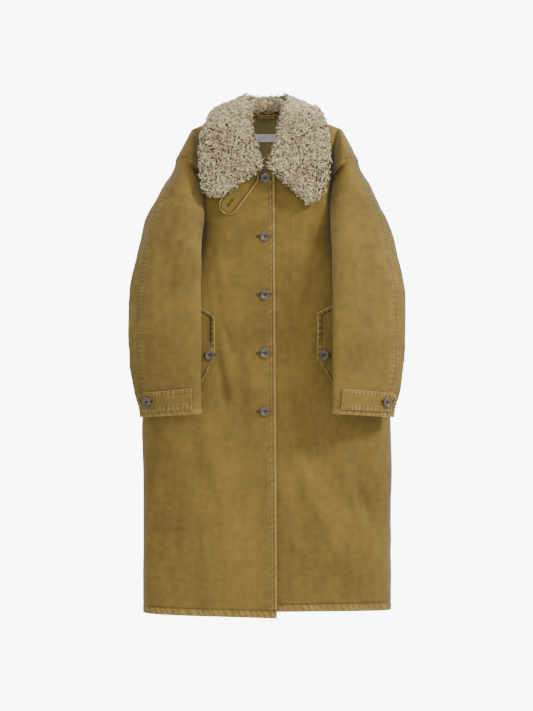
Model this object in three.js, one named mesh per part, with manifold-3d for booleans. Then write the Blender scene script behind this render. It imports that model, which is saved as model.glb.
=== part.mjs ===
// A long canvas coat with a pile collar, in millimetres, +Z up, front facing -Y.
// The origin is the middle of the hanger loop at the back of the neck. "Right" and "left" are the wearer's.
import * as THREE from "three";
import { mergeVertices } from "three/addons/utils/BufferGeometryUtils.js";
import Module from "manifold-3d";

const wasm = await Module();
wasm.setup();

// ---- Driving dimensions -------------------------------------------------------------------------
const BODY_LENGTH = 1188; // hanger loop down to the hem at the side seams
const FRONT_DROP = 20; // how far the right front's corner hangs below the side hem
const UNDER_DROP = 5; // the same for the left front, which lies under it
const HEM_HALF_WIDTH = 298;
const CHEST_HALF_WIDTH = 158; // between the folds where the sleeves start
const TIP_X = 181; // shoulder tip
const TIP_Z = -31;
const SHOULDER_SLOPE = 0.395;
const CHEST_DEPTH = 78; // centre to the front of the chest
const BACK_DEPTH = 72;
const SKIRT_FLARE = 10; // how much deeper the hem is than the chest, front and back alike
const SHOULDER_ROUND = 170; // height over which the shoulders reach the full depth
const SQUARENESS = 4; // exponent of the body's cross-section
const NECK_HALF_WIDTH = 72;
const FRONT_NECK_Z = -137;
const BACK_NECK_Z = -2;
const CANVAS = 2; // thickness of the shell cloth
const LINING = 1;
const LINING_INSET = 14; // shell surface to lining surface, which leaves room for the pocket bags
const GAP = 0.3; // between layers that touch
const LAYER_GAP = 1; // between curved layers, whose facets don't line up
const OVER_EDGE_X = 17; // right front's edge at the neck
const EDGE_SLANT = 7; // how far that edge has moved to the left at the hem
const UNDER_EDGE_X = -25; // left front's edge, under the right one
const FACING_WIDTH = 70;
const BUTTON_DIAMETER = 25.4;
const BUTTON_THICKNESS = 3.6;
const BUTTON_STANDOFF = 0.6; // cloth to the button's back
const SHANK_DIAMETER = 3.6; // the bundle of thread under a button
const BUTTONHOLE_EASE = 1.6; // a buttonhole is this much longer than the button is wide
const BUTTONHOLE_WIDTH = 5;
const FRONT_BUTTON_X = -4;
const FIRST_BUTTON_Z = -151;
const BUTTON_PITCH = 140;
const FRONT_BUTTONS = 5;
const FOLD_TOP_X = -24; // the right front folds back about a line from here
const FOLD_BOTTOM_X = -230; // down to here at the hem
const SKIRT_TOP_Z = -170; // the fold starts just under the first button
const SLEEVE_TOP_Z = -103; // the dropped shoulder seam
const SLEEVE_LENGTH = 622; // shoulder seam to cuff
const SLEEVE_SEAM_X = 221; // outer end of the shoulder seam
const RING_INNER_X = CHEST_HALF_WIDTH + 7.5; // and its inner end
const FRONT_SEAM_TURN = 34; // degrees from a sleeve's outer edge to its front seam
const BACK_SEAM_TURN = 150; // and on round the back to its other seam
const TAB_HEIGHT = 50;
const TAB_BOTTOM_UP = 12; // the cuff tab's lower edge above the cuff
const TAB_GAP = 1.3; // sleeve to tab
const LATCH_WIDTH = 48;
const LATCH_LENGTH = 128;
const LATCH_PIVOT = [-44, -150];
const LATCH_LEAN = 36; // degrees from straight down
const PILE = 15; // thickness of the pile collar
const SLEEVE_GAP = 1.3; // dropped shoulder to the sleeve under it
const COLLAR_CUT = 3; // between a collar wing and the collar's back
const WING_CLEAR = 4.3; // from the roll in to the neckband, so that a wing can turn
const ARMHOLE_HEIGHT = 150;
const ARMHOLE_DEPTH = 70;
const ROUND = 10; // sides of a button

// ---- Small helpers ------------------------------------------------------------------------------
const rad = THREE.MathUtils.degToRad;
const lerp = THREE.MathUtils.lerp;
const clamp = THREE.MathUtils.clamp;
const range = (n) => [...Array(n).keys()];
const spread = (from, to, steps) => range(steps + 1).map((i) => lerp(from, to, i / steps));

// A smooth function through [key, value] stations, level at both ends and never overshooting.
function stations(list) {
  const keys = list.map((s) => s[0]);
  const slopes = list.map((s, i) => {
    if (i === 0 || i === list.length - 1) return 0;
    const before = (s[1] - list[i - 1][1]) / (s[0] - list[i - 1][0]);
    const after = (list[i + 1][1] - s[1]) / (list[i + 1][0] - s[0]);
    return before * after <= 0 ? 0 : (2 * before * after) / (before + after);
  });
  return (key) => {
    const at = clamp(key, keys[0], keys.at(-1));
    const i = Math.min(keys.findLastIndex((k) => k <= at), list.length - 2);
    const span = keys[i + 1] - keys[i];
    const t = (at - keys[i]) / span;
    const [a, b] = [list[i][1], list[i + 1][1]];
    const ease = t * t * (3 - 2 * t);
    const bendA = t * (1 - t) * (1 - t) * span * slopes[i];
    const bendB = t * t * (t - 1) * span * slopes[i + 1];
    return lerp(a, b, ease) + bendA + bendB;
  };
}

// A curve through points in space, as a function of its share from 0 to 1.
function through(points) {
  const curve = new THREE.CatmullRomCurve3(points.map((p) => new THREE.Vector3(...p)));
  return (share) => curve.getPoint(share);
}

// ---- Solids -------------------------------------------------------------------------------------
function solidFrom(positions, triangles) {
  const kept = triangles.filter(([a, b, c]) => a !== b && b !== c && a !== c);
  const geometry = new THREE.BufferGeometry()
    .setAttribute("position", new THREE.Float32BufferAttribute(positions.flatMap((p) => p.toArray()), 3))
    .setIndex(kept.flat());
  return solidOf(geometry);
}

function solidOf(geometry) {
  const bare = geometry.clone();
  bare.deleteAttribute("normal");
  bare.deleteAttribute("uv");
  const merged = mergeVertices(bare, 1e-3);
  const corners = merged.index.array;
  const triangles = [];
  for (let i = 0; i < corners.length; i += 3) {
    const [a, b, c] = [corners[i], corners[i + 1], corners[i + 2]];
    if (a !== b && b !== c && a !== c) triangles.push(a, b, c);
  }
  const vertProperties = new Float32Array(merged.attributes.position.array);
  const make = (list) => {
    const triVerts = new Uint32Array(list);
    return new wasm.Manifold(new wasm.Mesh({ numProp: 3, vertProperties, triVerts }));
  };
  const made = make(triangles);
  if (made.volume() > 0) return made;
  const turned = [];
  for (let i = 0; i < triangles.length; i += 3) turned.push(triangles[i], triangles[i + 2], triangles[i + 1]);
  return make(turned);
}

function geometryOf(solid) {
  const mesh = solid.getMesh();
  const positions = new Float32Array(mesh.numVert * 3);
  for (let i = 0; i < mesh.numVert; i++) {
    positions.set(mesh.vertProperties.subarray(i * mesh.numProp, i * mesh.numProp + 3), i * 3);
  }
  return new THREE.BufferGeometry()
    .setAttribute("position", new THREE.BufferAttribute(positions, 3))
    .setIndex(new THREE.BufferAttribute(mesh.triVerts, 1));
}

// The unit normal of a surface at (u, v).
function normalOf(surface, u, v) {
  const step = 1e-3;
  const alongU = surface(u + step, v).sub(surface(u - step, v));
  const alongV = surface(u, v + step).sub(surface(u, v - step));
  return alongU.cross(alongV).normalize();
}

// Cloth between two offsets of surface(u, v), with u and v from 0 to 1. outward(p) points out of the coat.
function cloth(surface, acrossSteps, downSteps, outer, inner, outward, closed = false) {
  const across = closed ? acrossSteps : acrossSteps + 1;
  const rows = downSteps + 1;
  const positions = [];
  for (const offset of [outer, inner]) {
    for (const j of range(rows)) {
      for (const i of range(across)) {
        const [u, v] = [i / acrossSteps, j / downSteps];
        const point = surface(u, v);
        const normal = normalOf(surface, clamp(u, 2e-3, 1 - 2e-3), clamp(v, 2e-3, 1 - 2e-3));
        if (normal.dot(outward(point)) < 0) normal.negate();
        const away = typeof offset === "function" ? offset(point) : offset;
        positions.push(point.addScaledVector(normal, away));
      }
    }
  }
  const at = (layer, i, j) => layer * rows * across + j * across + (closed ? i % across : i);
  const quads = [];
  for (const j of range(downSteps)) {
    for (const i of range(acrossSteps)) {
      quads.push([at(0, i, j), at(0, i + 1, j), at(0, i + 1, j + 1), at(0, i, j + 1)]);
      quads.push([at(1, i, j), at(1, i, j + 1), at(1, i + 1, j + 1), at(1, i + 1, j)]);
    }
  }
  for (const i of range(acrossSteps)) {
    quads.push([at(0, i, 0), at(1, i, 0), at(1, i + 1, 0), at(0, i + 1, 0)]);
    quads.push([at(0, i, downSteps), at(0, i + 1, downSteps), at(1, i + 1, downSteps), at(1, i, downSteps)]);
  }
  if (!closed) {
    for (const j of range(downSteps)) {
      quads.push([at(0, 0, j), at(0, 0, j + 1), at(1, 0, j + 1), at(1, 0, j)]);
      const end = acrossSteps;
      quads.push([at(0, end, j), at(1, end, j), at(1, end, j + 1), at(0, end, j + 1)]);
    }
  }
  return solidFrom(positions, quads.flatMap(([a, b, c, d]) => [[a, b, c], [a, c, d]]));
}

// A prism that runs along Y from one depth to another, over an outline of [x, z] points.
function prism(outline, fromY, toY) {
  const shape = new THREE.Shape(outline.map(([x, z]) => new THREE.Vector2(x, z)));
  const geometry = new THREE.ExtrudeGeometry(shape, { depth: toY - fromY, bevelEnabled: false });
  return solidOf(geometry.rotateX(Math.PI / 2).translate(0, toY, 0));
}

// The [x, z] outline of a slot, or of a tab with two round ends, about a middle point.
function slotOutline(x, z, length, width, lean = 0) {
  const straight = length / 2 - width / 2;
  const points = [];
  for (const [end, from] of [[1, -90], [-1, 90]]) {
    for (const turn of spread(from, from + 180, 6)) {
      points.push([end * straight + (width / 2) * Math.cos(rad(turn)), (width / 2) * Math.sin(rad(turn))]);
    }
  }
  const [c, s] = [Math.cos(rad(lean)), Math.sin(rad(lean))];
  return points.map(([px, pz]) => [x + px * c - pz * s, z + px * s + pz * c]);
}

function boxBetween(low, high) {
  const size = high.map((v, i) => v - low[i]);
  const middle = high.map((v, i) => (v + low[i]) / 2);
  return solidOf(new THREE.BoxGeometry(...size).translate(...middle));
}

const mirrored = (points) => points.map(([x, ...rest]) => [-x, ...rest]);

// ---- The coat's surface -------------------------------------------------------------------------
const hemZ = -BODY_LENGTH;
const buttonZ = (n) => FIRST_BUTTON_Z - n * BUTTON_PITCH;
const crest = (x) => TIP_Z + (TIP_X - Math.abs(x)) * SHOULDER_SLOPE;
const belly = CHEST_HALF_WIDTH + 1;
const halfWidth = stations([
  [hemZ, HEM_HALF_WIDTH],
  [-640, HEM_HALF_WIDTH],
  [-560, HEM_HALF_WIDTH - 6],
  [-480, lerp(belly, HEM_HALF_WIDTH, 0.74)],
  [-400, lerp(belly, HEM_HALF_WIDTH, 0.3)],
  [-300, belly],
  [-200, CHEST_HALF_WIDTH],
  [SLEEVE_TOP_Z, CHEST_HALF_WIDTH + 6],
  [TIP_Z, TIP_X - 7],
]);
const depthAt = (z) => SKIRT_FLARE * clamp((-300 - z) / (-300 - hemZ), 0, 1);
const roundIn = (below) => Math.sqrt(Math.max(0, 1 - (1 - clamp(below / SHOULDER_ROUND, 0, 1)) ** 2));

// The body's surface at a bearing (0 centre front, 90 the left side, 180 centre back) and a height.
function bodyPoint(bearing, z) {
  const [s, c] = [Math.sin(rad(bearing)), Math.cos(rad(bearing))];
  const reach = (Math.abs(s) ** SQUARENESS + Math.abs(c) ** SQUARENESS) ** (-1 / SQUARENESS);
  const x = halfWidth(z) * reach * s;
  const depth = (c > 0 ? CHEST_DEPTH : BACK_DEPTH) + depthAt(z);
  return new THREE.Vector3(x, -depth * reach * c * roundIn(crest(x) - z), z);
}
const outOfBody = (p) => new THREE.Vector3(p.x / HEM_HALF_WIDTH, p.y / CHEST_DEPTH, p.z > -60 ? 0.5 : 0);
const bearingOf = (x, z) => {
  let bearing = THREE.MathUtils.radToDeg(Math.asin(clamp(x / halfWidth(z), -0.7, 0.7)));
  for (const _ of range(8)) bearing += (x - bodyPoint(bearing, z).x) * 0.2;
  return bearing;
};

const neckDip = (x) => 1 - Math.sqrt(1 - Math.min(Math.abs(x) / NECK_HALF_WIDTH, 1) ** 2);
const topBelow = 0.1; // panels stop this far under the crest, where front and back are sewn together
function topOf(bearingAt, neckZ) {
  let z = TIP_Z;
  for (const _ of range(24)) {
    const x = bodyPoint(bearingAt(z), z).x;
    const neck = lerp(neckZ, crest(NECK_HALF_WIDTH), neckDip(x));
    z = lerp(z, Math.min(neck, crest(x) - topBelow), 0.6);
  }
  return z;
}

// One panel's surface. u runs from bearing(z, 0) to bearing(z, 1), and v from the hem to the top edge.
function panel(bearingAt, hemAt, neckZ) {
  return (u, v) => {
    const top = topOf((z) => bearingAt(z, u), neckZ);
    const z = lerp(hemAt(u), top, 1 - (1 - v) ** 1.5);
    return bodyPoint(bearingAt(z, u), z);
  };
}

const slotLength = BUTTON_DIAMETER + BUTTONHOLE_EASE;
const overEdge = (z) => OVER_EDGE_X + EDGE_SLANT * clamp(z / hemZ, 0, 1);
const sideGap = 0.35; // degrees left open at each side and back seam
const rightFront = panel(
  (z, u) => lerp(bearingOf(overEdge(z), z), -90 + sideGap, u ** 0.9),
  (u) => hemZ - FRONT_DROP * (1 - u) ** 0.8,
  FRONT_NECK_Z,
);
const leftFront = panel(
  (z, u) => lerp(bearingOf(UNDER_EDGE_X, z), 90 - sideGap, u ** 0.9),
  (u) => hemZ - UNDER_DROP * (1 - u),
  FRONT_NECK_Z,
);
const back = (side) => panel((z, u) => side * lerp(90 + sideGap, 180 - sideGap, u), () => hemZ, BACK_NECK_Z);

// The left front drops behind the right one, and behind that one's facing, where they overlap.
const underBy = CANVAS + LINING + 2 * LAYER_GAP;
const underneath = (p) => -underBy * clamp((62 - p.x) / 34, 0, 1);
const layer = (offset, thickness) => [(p) => offset(p), (p) => offset(p) - thickness];

// ---- Shell panels, facings and lining -----------------------------------------------------------
const foldX = (z) => lerp(FOLD_TOP_X, FOLD_BOTTOM_X, (FIRST_BUTTON_Z - z) / (FIRST_BUTTON_Z - hemZ));
function skirtRegion(shrink) {
  const below = hemZ - 80;
  return prism([
    [foldX(SKIRT_TOP_Z) + shrink, SKIRT_TOP_Z - shrink],
    [140, SKIRT_TOP_Z - shrink],
    [140, below],
    [foldX(below) + shrink, below],
  ], -CHEST_DEPTH - 60, 0);
}
const splitGap = 0.5;
const skirtKeep = skirtRegion(splitGap);
const skirtCut = skirtRegion(0);

function buttonholes(solid, from, to) {
  let cut = solid;
  for (const n of range(FRONT_BUTTONS).slice(from, to)) {
    const outline = slotOutline(FRONT_BUTTON_X, buttonZ(n), slotLength, BUTTONHOLE_WIDTH);
    cut = cut.subtract(prism(outline, -CHEST_DEPTH - 40, -20));
  }
  return cut;
}

const armhole = (side) => {
  const top = SLEEVE_TOP_Z + 38;
  const x = [side * (CHEST_HALF_WIDTH - 30), side * (CHEST_HALF_WIDTH + 22)].sort((a, b) => a - b);
  return boxBetween([x[0], -ARMHOLE_DEPTH / 2, top - ARMHOLE_HEIGHT], [x[1], ARMHOLE_DEPTH / 2, top]);
};

const pocketRoot = { top: [188, -444], bottom: [190, -698] };
const pocketSlotAt = (side) => {
  const run = pocketRoot.bottom.map((v, i) => v - pocketRoot.top[i]);
  const lean = THREE.MathUtils.radToDeg(Math.atan2(run[1], run[0]));
  const x = (pocketRoot.top[0] + pocketRoot.bottom[0]) / 2 - 14;
  const z = (pocketRoot.top[1] + pocketRoot.bottom[1]) / 2 + 10;
  return prism(slotOutline(side * x, z, 160, 8, side * lean), -CHEST_DEPTH - 40, -20);
};

const rightFrontCloth = cloth(rightFront, 13, 18, 0, -CANVAS, outOfBody).subtract(pocketSlotAt(-1));
const rightFrontPanel = buttonholes(rightFrontCloth.subtract(skirtCut).subtract(armhole(-1)), 0, 1);
const rightFrontSkirt = buttonholes(rightFrontCloth.intersect(skirtKeep), 1, FRONT_BUTTONS);

const leftFrontPanel = cloth(leftFront, 13, 18, ...layer(underneath, CANVAS), outOfBody)
  .subtract(armhole(1))
  .subtract(pocketSlotAt(1));
const backPanel = (side) => cloth(back(side), 9, 18, 0, -CANVAS, outOfBody).subtract(armhole(side));

const facingSurface = (from, to, sag) =>
  panel((z, u) => bearingOf(lerp(from(z), to(z), u), z), () => hemZ + sag, FRONT_NECK_Z);
const overFacing = facingSurface((z) => overEdge(z) - 1, (z) => overEdge(z) - FACING_WIDTH, 4);
const underFacing = facingSurface(() => UNDER_EDGE_X + 1, () => UNDER_EDGE_X + FACING_WIDTH, 4);
const rightFacing = buttonholes(
  cloth(overFacing, 3, 18, -CANVAS - LAYER_GAP, -CANVAS - LAYER_GAP - LINING, outOfBody).intersect(skirtKeep),
  1,
  FRONT_BUTTONS,
);
const underFacingOffset = (p) => underneath(p) - CANVAS - 1.2 * LAYER_GAP;
const leftFacing = cloth(underFacing, 3, 18, ...layer(underFacingOffset, LINING), outOfBody);

const liningTopBelow = 150; // the lining's upper edge, under the neck facing
function liningSurface(bearingAt) {
  return (u, v) => {
    const z = lerp(hemZ + 30, -liningTopBelow, v);
    return bodyPoint(bearingAt(z, u), z);
  };
}
const liningInset = (p) => {
  const fromEdge = Math.min(p.z - (hemZ + 30), -liningTopBelow - p.z);
  const sewn = lerp(CANVAS + LAYER_GAP, LINING_INSET * 0.6, clamp(-p.y / 30, 0, 1));
  return lerp(sewn, LINING_INSET, clamp(fromEdge / 60, 0, 1));
};
const makeLining = (bearingAt, steps) =>
  cloth(liningSurface(bearingAt), steps, 12, ...layer((p) => -liningInset(p), LINING), outOfBody);
const liningEdge = FACING_WIDTH - 22; // where the front linings meet the facings
const rightLining = makeLining((z, u) => lerp(bearingOf(-liningEdge, z), -90 + sideGap, u), 7)
  .subtract(armhole(-1));
const leftLining = makeLining((z, u) => lerp(bearingOf(liningEdge, z), 90 - sideGap, u), 7)
  .subtract(armhole(1));
const backLining = makeLining((z, u) => lerp(90 + sideGap, 270 - sideGap, u), 18)
  .subtract(armhole(-1))
  .subtract(armhole(1));

// ---- Dropped shoulders and sleeves --------------------------------------------------------------
// Each station is the middle of a sleeve's section, its half width as seen from the front, its half
// depth and how far it is turned so that its inner edge comes forward.
const sleeveTop = SLEEVE_TOP_Z - SLEEVE_GAP;
const cuffZ = sleeveTop - SLEEVE_LENGTH;
const downSleeve = (share) => lerp(sleeveTop, cuffZ, share);
const ringMiddle = (SLEEVE_SEAM_X + RING_INNER_X) / 2;
const ringHalf = (SLEEVE_SEAM_X - CHEST_HALF_WIDTH - 9) / 2;
const sleeveStations = [
  [0, ringMiddle, -5, ringHalf, 67, 0],
  [0.12, 207, -26, 48, 62, 4],
  [0.24, 224, -55, 70, 55, 10],
  [0.38, 236, -86, 80, 47, 16],
  [0.52, 243, -106, 88, 41, 19],
  [0.64, 244, -114, 89.5, 38, 20],
  [0.76, 243, -117, 88, 36, 20],
  [0.9, 238, -117, 81, 33, 20],
  [1, 231, -116, 74, 31, 20],
];
const sleeveValue = range(5).map((k) => stations(sleeveStations.map((s) => [s[0], s[k + 1]])));
function sleeveSection(share) {
  const [x, y, halfSeen, halfDepth, turn] = sleeveValue.map((f) => f(share));
  const halfLong = Math.sqrt(halfSeen ** 2 - (halfDepth * Math.sin(rad(turn))) ** 2) / Math.cos(rad(turn));
  return { x, y, halfLong, halfDepth, turn };
}

// The sleeve's surface: around is in degrees, 0 at its outer edge, 90 at its front, 180 at its inner edge.
function sleevePoint(side, around, share) {
  const { x, y, halfLong, halfDepth, turn } = sleeveSection(clamp(share, 0, 1));
  const [along, ahead] = [halfLong * Math.cos(rad(around)), halfDepth * Math.sin(rad(around))];
  const [c, s] = [Math.cos(rad(turn)), Math.sin(rad(turn))];
  const out = x + along * c - ahead * s * 0.999;
  return new THREE.Vector3(side * out, y + along * s - ahead * c, downSleeve(share));
}
const sleeveSurface = (side, from, to) => (u, v) => sleevePoint(side, lerp(from, to, u), v);
const outOfSleeve = (side) => (p) => {
  const { x, y } = sleeveSection(clamp((sleeveTop - p.z) / SLEEVE_LENGTH, 0, 1));
  return new THREE.Vector3(p.x - side * x, p.y - y, 0);
};

const seamGap = 0.6; // degrees left open at each sleeve seam
const frontSeam = FRONT_SEAM_TURN;
const backSeam = FRONT_SEAM_TURN - BACK_SEAM_TURN; // round the back
const sleeveFront = (side) =>
  cloth(sleeveSurface(side, frontSeam + seamGap, 360 + backSeam - seamGap), 14, 12, 0, -CANVAS,
    outOfSleeve(side)).subtract(armhole(side));
const sleeveBack = (side) =>
  cloth(sleeveSurface(side, frontSeam - seamGap, backSeam + seamGap), 9, 12, 0, -CANVAS, outOfSleeve(side));
const sleeveLining = (side) =>
  cloth((u, v) => sleevePoint(side, 360 * u, lerp(0.02, 0.93, v)), 14, 8, -5, -5 - LINING,
    outOfSleeve(side), true).subtract(armhole(side));
const cuffFacing = (side) =>
  cloth((u, v) => sleevePoint(side, 360 * u, lerp(0.935, 0.995, v)), 20, 1,
    -CANVAS - LAYER_GAP, -CANVAS - LAYER_GAP - LINING, outOfSleeve(side), true);

// The dropped shoulder, which domes up from the seam to the crest.
function capPoint(side, around, rise) {
  const ring = sleevePoint(1, around, 0);
  const outwards = clamp((ring.x - RING_INNER_X) / (SLEEVE_SEAM_X - RING_INNER_X), 0, 1);
  const topX = lerp(TIP_X - 6, TIP_X + 1, outwards);
  const x = lerp(ring.x, topX, rise);
  const y = ring.y * Math.sqrt(1 - rise ** 2);
  return new THREE.Vector3(side * x, y, lerp(SLEEVE_TOP_Z, crest(topX) - 1, rise));
}
const shoulderCap = (side) =>
  cloth((u, v) => capPoint(side, 174 - 348 * u, lerp(0, 0.97, v)), 18, 5, 0, -CANVAS,
    (p) => new THREE.Vector3(p.x - side * ringMiddle, p.y, 20));

// ---- Cuff tabs ----------------------------------------------------------------------------------
const tabFrom = 128; // degrees round the sleeve where a tab is sewn on
const tabTo = 22;
const tabMiddleShare = 1 - (TAB_BOTTOM_UP + TAB_HEIGHT / 2) / SLEEVE_LENGTH;
const tabShare = TAB_HEIGHT / 2 / SLEEVE_LENGTH;
const cuffTab = (side) => {
  const surface = (u, v) =>
    sleevePoint(side, lerp(tabFrom, tabTo, u), lerp(tabMiddleShare - tabShare, tabMiddleShare + tabShare, v));
  const [sewn, end] = [surface(0, 0.5), surface(1, 0.5)];
  const reach = Math.abs(end.x - sewn.x);
  const corner = 16;
  const low = end.z - TAB_HEIGHT / 2;
  const high = end.z + TAB_HEIGHT / 2;
  const outline = [[-8, low - 4], [reach - corner, low - 4]];
  for (const turn of spread(-90, 90, 8)) {
    const middle = [reach - corner, end.z];
    const [c, s] = [Math.cos(rad(turn)), Math.sin(rad(turn))];
    outline.push([middle[0] + corner * c, middle[1] + (TAB_HEIGHT / 2) * s]);
  }
  outline.push([reach - corner, high + 4], [-8, high + 4]);
  const placed = outline.map(([x, z]) => [sewn.x + side * x, z]);
  const blank = cloth(surface, 10, 2, TAB_GAP + CANVAS, TAB_GAP, outOfSleeve(side));
  const trimmed = blank.intersect(prism(placed, -220, 0));
  const spot = cuffButtonSpot(side);
  return trimmed.subtract(prism(
    slotOutline(spot.point.x, spot.point.z, slotLength, BUTTONHOLE_WIDTH), -220, 0));
};
const cuffButtonAround = tabTo + 20;
function cuffButtonSpot(side) {
  const surface = (u, v) => sleevePoint(side, u * 100, v);
  const point = sleevePoint(side, cuffButtonAround, tabMiddleShare);
  const normal = normalOf(surface, cuffButtonAround / 100, tabMiddleShare);
  if (normal.y > 0) normal.negate();
  return { point, normal };
}

// ---- Buttons ------------------------------------------------------------------------------------
// A button with its thread shank. The shank's foot is at the origin, and the button faces +Z.
function buttonGeometry(diameter, foot) {
  const radius = diameter / 2;
  const backZ = foot + BUTTON_STANDOFF;
  const frontZ = backZ + BUTTON_THICKNESS;
  const profile = [
    [0, 0],
    [SHANK_DIAMETER / 2, 0],
    [SHANK_DIAMETER / 2, backZ],
    [radius * 0.8, backZ],
    [radius, backZ + BUTTON_THICKNESS * 0.5],
    [radius * 0.86, frontZ],
    [radius * 0.6, frontZ - 1.1],
    [0, frontZ - 1.1],
  ];
  const corners = profile.map(([r, z]) => new THREE.Vector2(r, z));
  return new THREE.LatheGeometry(corners, ROUND).rotateX(Math.PI / 2);
}
function placeButton(mesh, point, normal) {
  mesh.quaternion.setFromUnitVectors(new THREE.Vector3(0, 0, 1), normal);
  mesh.position.copy(point);
}

// ---- Pockets ------------------------------------------------------------------------------------
const flapFreeX = 120;
const flapOutline = [
  [flapFreeX, -473],
  pocketRoot.top,
  pocketRoot.bottom,
  [flapFreeX, -583],
];
const flapButton = [137, -576];
const frontSurfaceAt = (x, z) => bodyPoint(bearingOf(x, z), z);
function frontNormalAt(x, z) {
  const surface = (u, v) => frontSurfaceAt(x + (u - 0.5) * 20, z + (v - 0.5) * 20);
  const normal = normalOf(surface, 0.5, 0.5);
  return normal.y > 0 ? normal.negate() : normal;
}
function frontPatch(side, lowX, highX, lowZ, highZ, steps, outer, inner) {
  const surface = (u, v) => frontSurfaceAt(side * lerp(lowX, highX, u), lerp(lowZ, highZ, v));
  return cloth(surface, steps, steps, outer, inner, outOfBody);
}
const pocketFlap = (side) => {
  const outline = side > 0 ? flapOutline : mirrored(flapOutline);
  const hole = slotOutline(side * flapButton[0], flapButton[1], slotLength, BUTTONHOLE_WIDTH, 0);
  return frontPatch(side, flapFreeX - 8, pocketRoot.bottom[0] + 8, -710, -436, 7, GAP + CANVAS, GAP)
    .intersect(prism(outline, -CHEST_DEPTH - 60, -20))
    .subtract(prism(hole, -CHEST_DEPTH - 60, -20));
};
// A pouch of two plies behind the pocket slot, open along the slot.
const pocketBag = (side) => {
  const outer = -CANVAS - 2.4;
  const [lowX, highX, lowZ, highZ] = [136, 226, -690, -476];
  const pouch = frontPatch(side, lowX, highX, lowZ, highZ, 5, outer, outer - 4.4);
  const hollow = frontPatch(side, lowX + 3, highX - 3, lowZ + 3, highZ - 3, 5, outer - 1.2, outer - 3.2);
  return pouch.subtract(hollow).subtract(pocketSlotAt(side));
};

// ---- Collar -------------------------------------------------------------------------------------
// The roll is where the collar folds over, and the fall's edge is where it ends on the chest and back.
const rollRight = [[-10, -99, -122], [-31, -91, -70], [-42, -70, -14], [-47, -34, 27]];
const edgeRight = [
  [-112, -89, -196],
  [-148, -90, -183],
  [-160, -89, -128],
  [-158, -84, -64],
  [-144, -62, -15],
  [-122, -24, 16],
];
const rollLeft = [[4, -99, -122], [23, -91, -70], [36, -70, -14], [46, -34, 27]];
const edgeLeft = [
  [98, -89, -212],
  [128, -90, -194],
  [147, -89, -130],
  [146, -84, -66],
  [138, -62, -15],
  [122, -24, 16],
];
const rollBack = [[-47, -31, 28], [-46, 12, 42], [-28, 44, 45], [0, 52, 45]];
const edgeBack = [[-122, -20, 16], [-118, 34, -2], [-72, 74, -34], [0, 84, -46]];
const wholeWay = (half) => [...half, ...mirrored(half).reverse().slice(1)];

function collarSurface(roll, edge, crown) {
  const [rollAt, edgeAt] = [through(roll), through(edge)];
  return (u, v) => {
    const [a, b] = [rollAt(clamp(u, 0, 1)), edgeAt(clamp(u, 0, 1))];
    const out = new THREE.Vector3(0, a.y < 0 ? -1 : 1, 0.6).normalize();
    return a.lerp(b, v).addScaledVector(out, crown * 4 * v * (1 - v));
  };
}
const outOfCollar = (p) => new THREE.Vector3(p.x * 0.3, p.y + 6, 60);
const collarLayers = (roll, edge, along, across) => ({
  under: cloth(collarSurface(roll, edge, 4), along, across, 0, -CANVAS, outOfCollar),
  pile: cloth(collarSurface(roll, edge, 4), along, across, GAP + PILE, GAP, outOfCollar),
});
const wing = {
  right: collarLayers(rollRight, edgeRight, 9, 6),
  left: collarLayers(rollLeft, edgeLeft, 9, 6),
};
const collarBack = collarLayers(wholeWay(rollBack), wholeWay(edgeBack), 16, 6);
// The wings are trimmed clear of the collar's back, so that they can lift.
const backBlock = boxBetween([-200, -31 + COLLAR_CUT, -80], [200, 150, 120]);
const trimWing = (solid) => solid.subtract(backBlock);
const wingsBlock = boxBetween([-200, -200, -80], [200, -31 + 2 * COLLAR_CUT, 120]);
const trimBack = (solid) => solid.subtract(wingsBlock);

// The neckband stands between the neckline and the roll.
const bandInset = CANVAS + 2.3 * LAYER_GAP;
function neckPoint(x, neckZ, around) {
  const z = lerp(neckZ, crest(NECK_HALF_WIDTH), neckDip(x)) + 1;
  const bearing = bearingOf(x, z);
  const point = bodyPoint(around > 0 ? bearing : 180 - bearing, z);
  const inward = new THREE.Vector3(point.x, point.y, 0).normalize().multiplyScalar(-bandInset);
  return point.add(inward).toArray();
}
const bandFoot = [
  ...[16, 38, 56, 67, 71.5].map((x) => neckPoint(x, FRONT_NECK_Z, 1)),
  ...[66, 52, 28, 0].map((x) => neckPoint(x, BACK_NECK_Z, -1)),
];
const underRoll = ([x, y, z]) => {
  const rollInset = y > 20 ? 2.8 : WING_CLEAR;
  const far = Math.hypot(x, y + 10);
  return [x - (x / far) * rollInset, y - ((y + 10) / far) * rollInset, z - (y > 20 ? 0.8 : 2)];
};
const leftRoll = [...rollLeft, ...mirrored(rollBack).slice(1)];
const rightRoll = [...rollRight, ...rollBack.slice(1)].reverse();
const bandTop = [...leftRoll, ...rightRoll.slice(1)].map(underRoll);
const neckband = (() => {
  const [footAt, topAt] = [through(wholeWay(bandFoot)), through(bandTop)];
  const surface = (u, v) => footAt(clamp(u, 0, 1)).lerp(topAt(clamp(u, 0, 1)), v);
  return cloth(surface, 28, 2, 0, -CANVAS, (p) => new THREE.Vector3(p.x, p.y, 0));
})();

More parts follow.
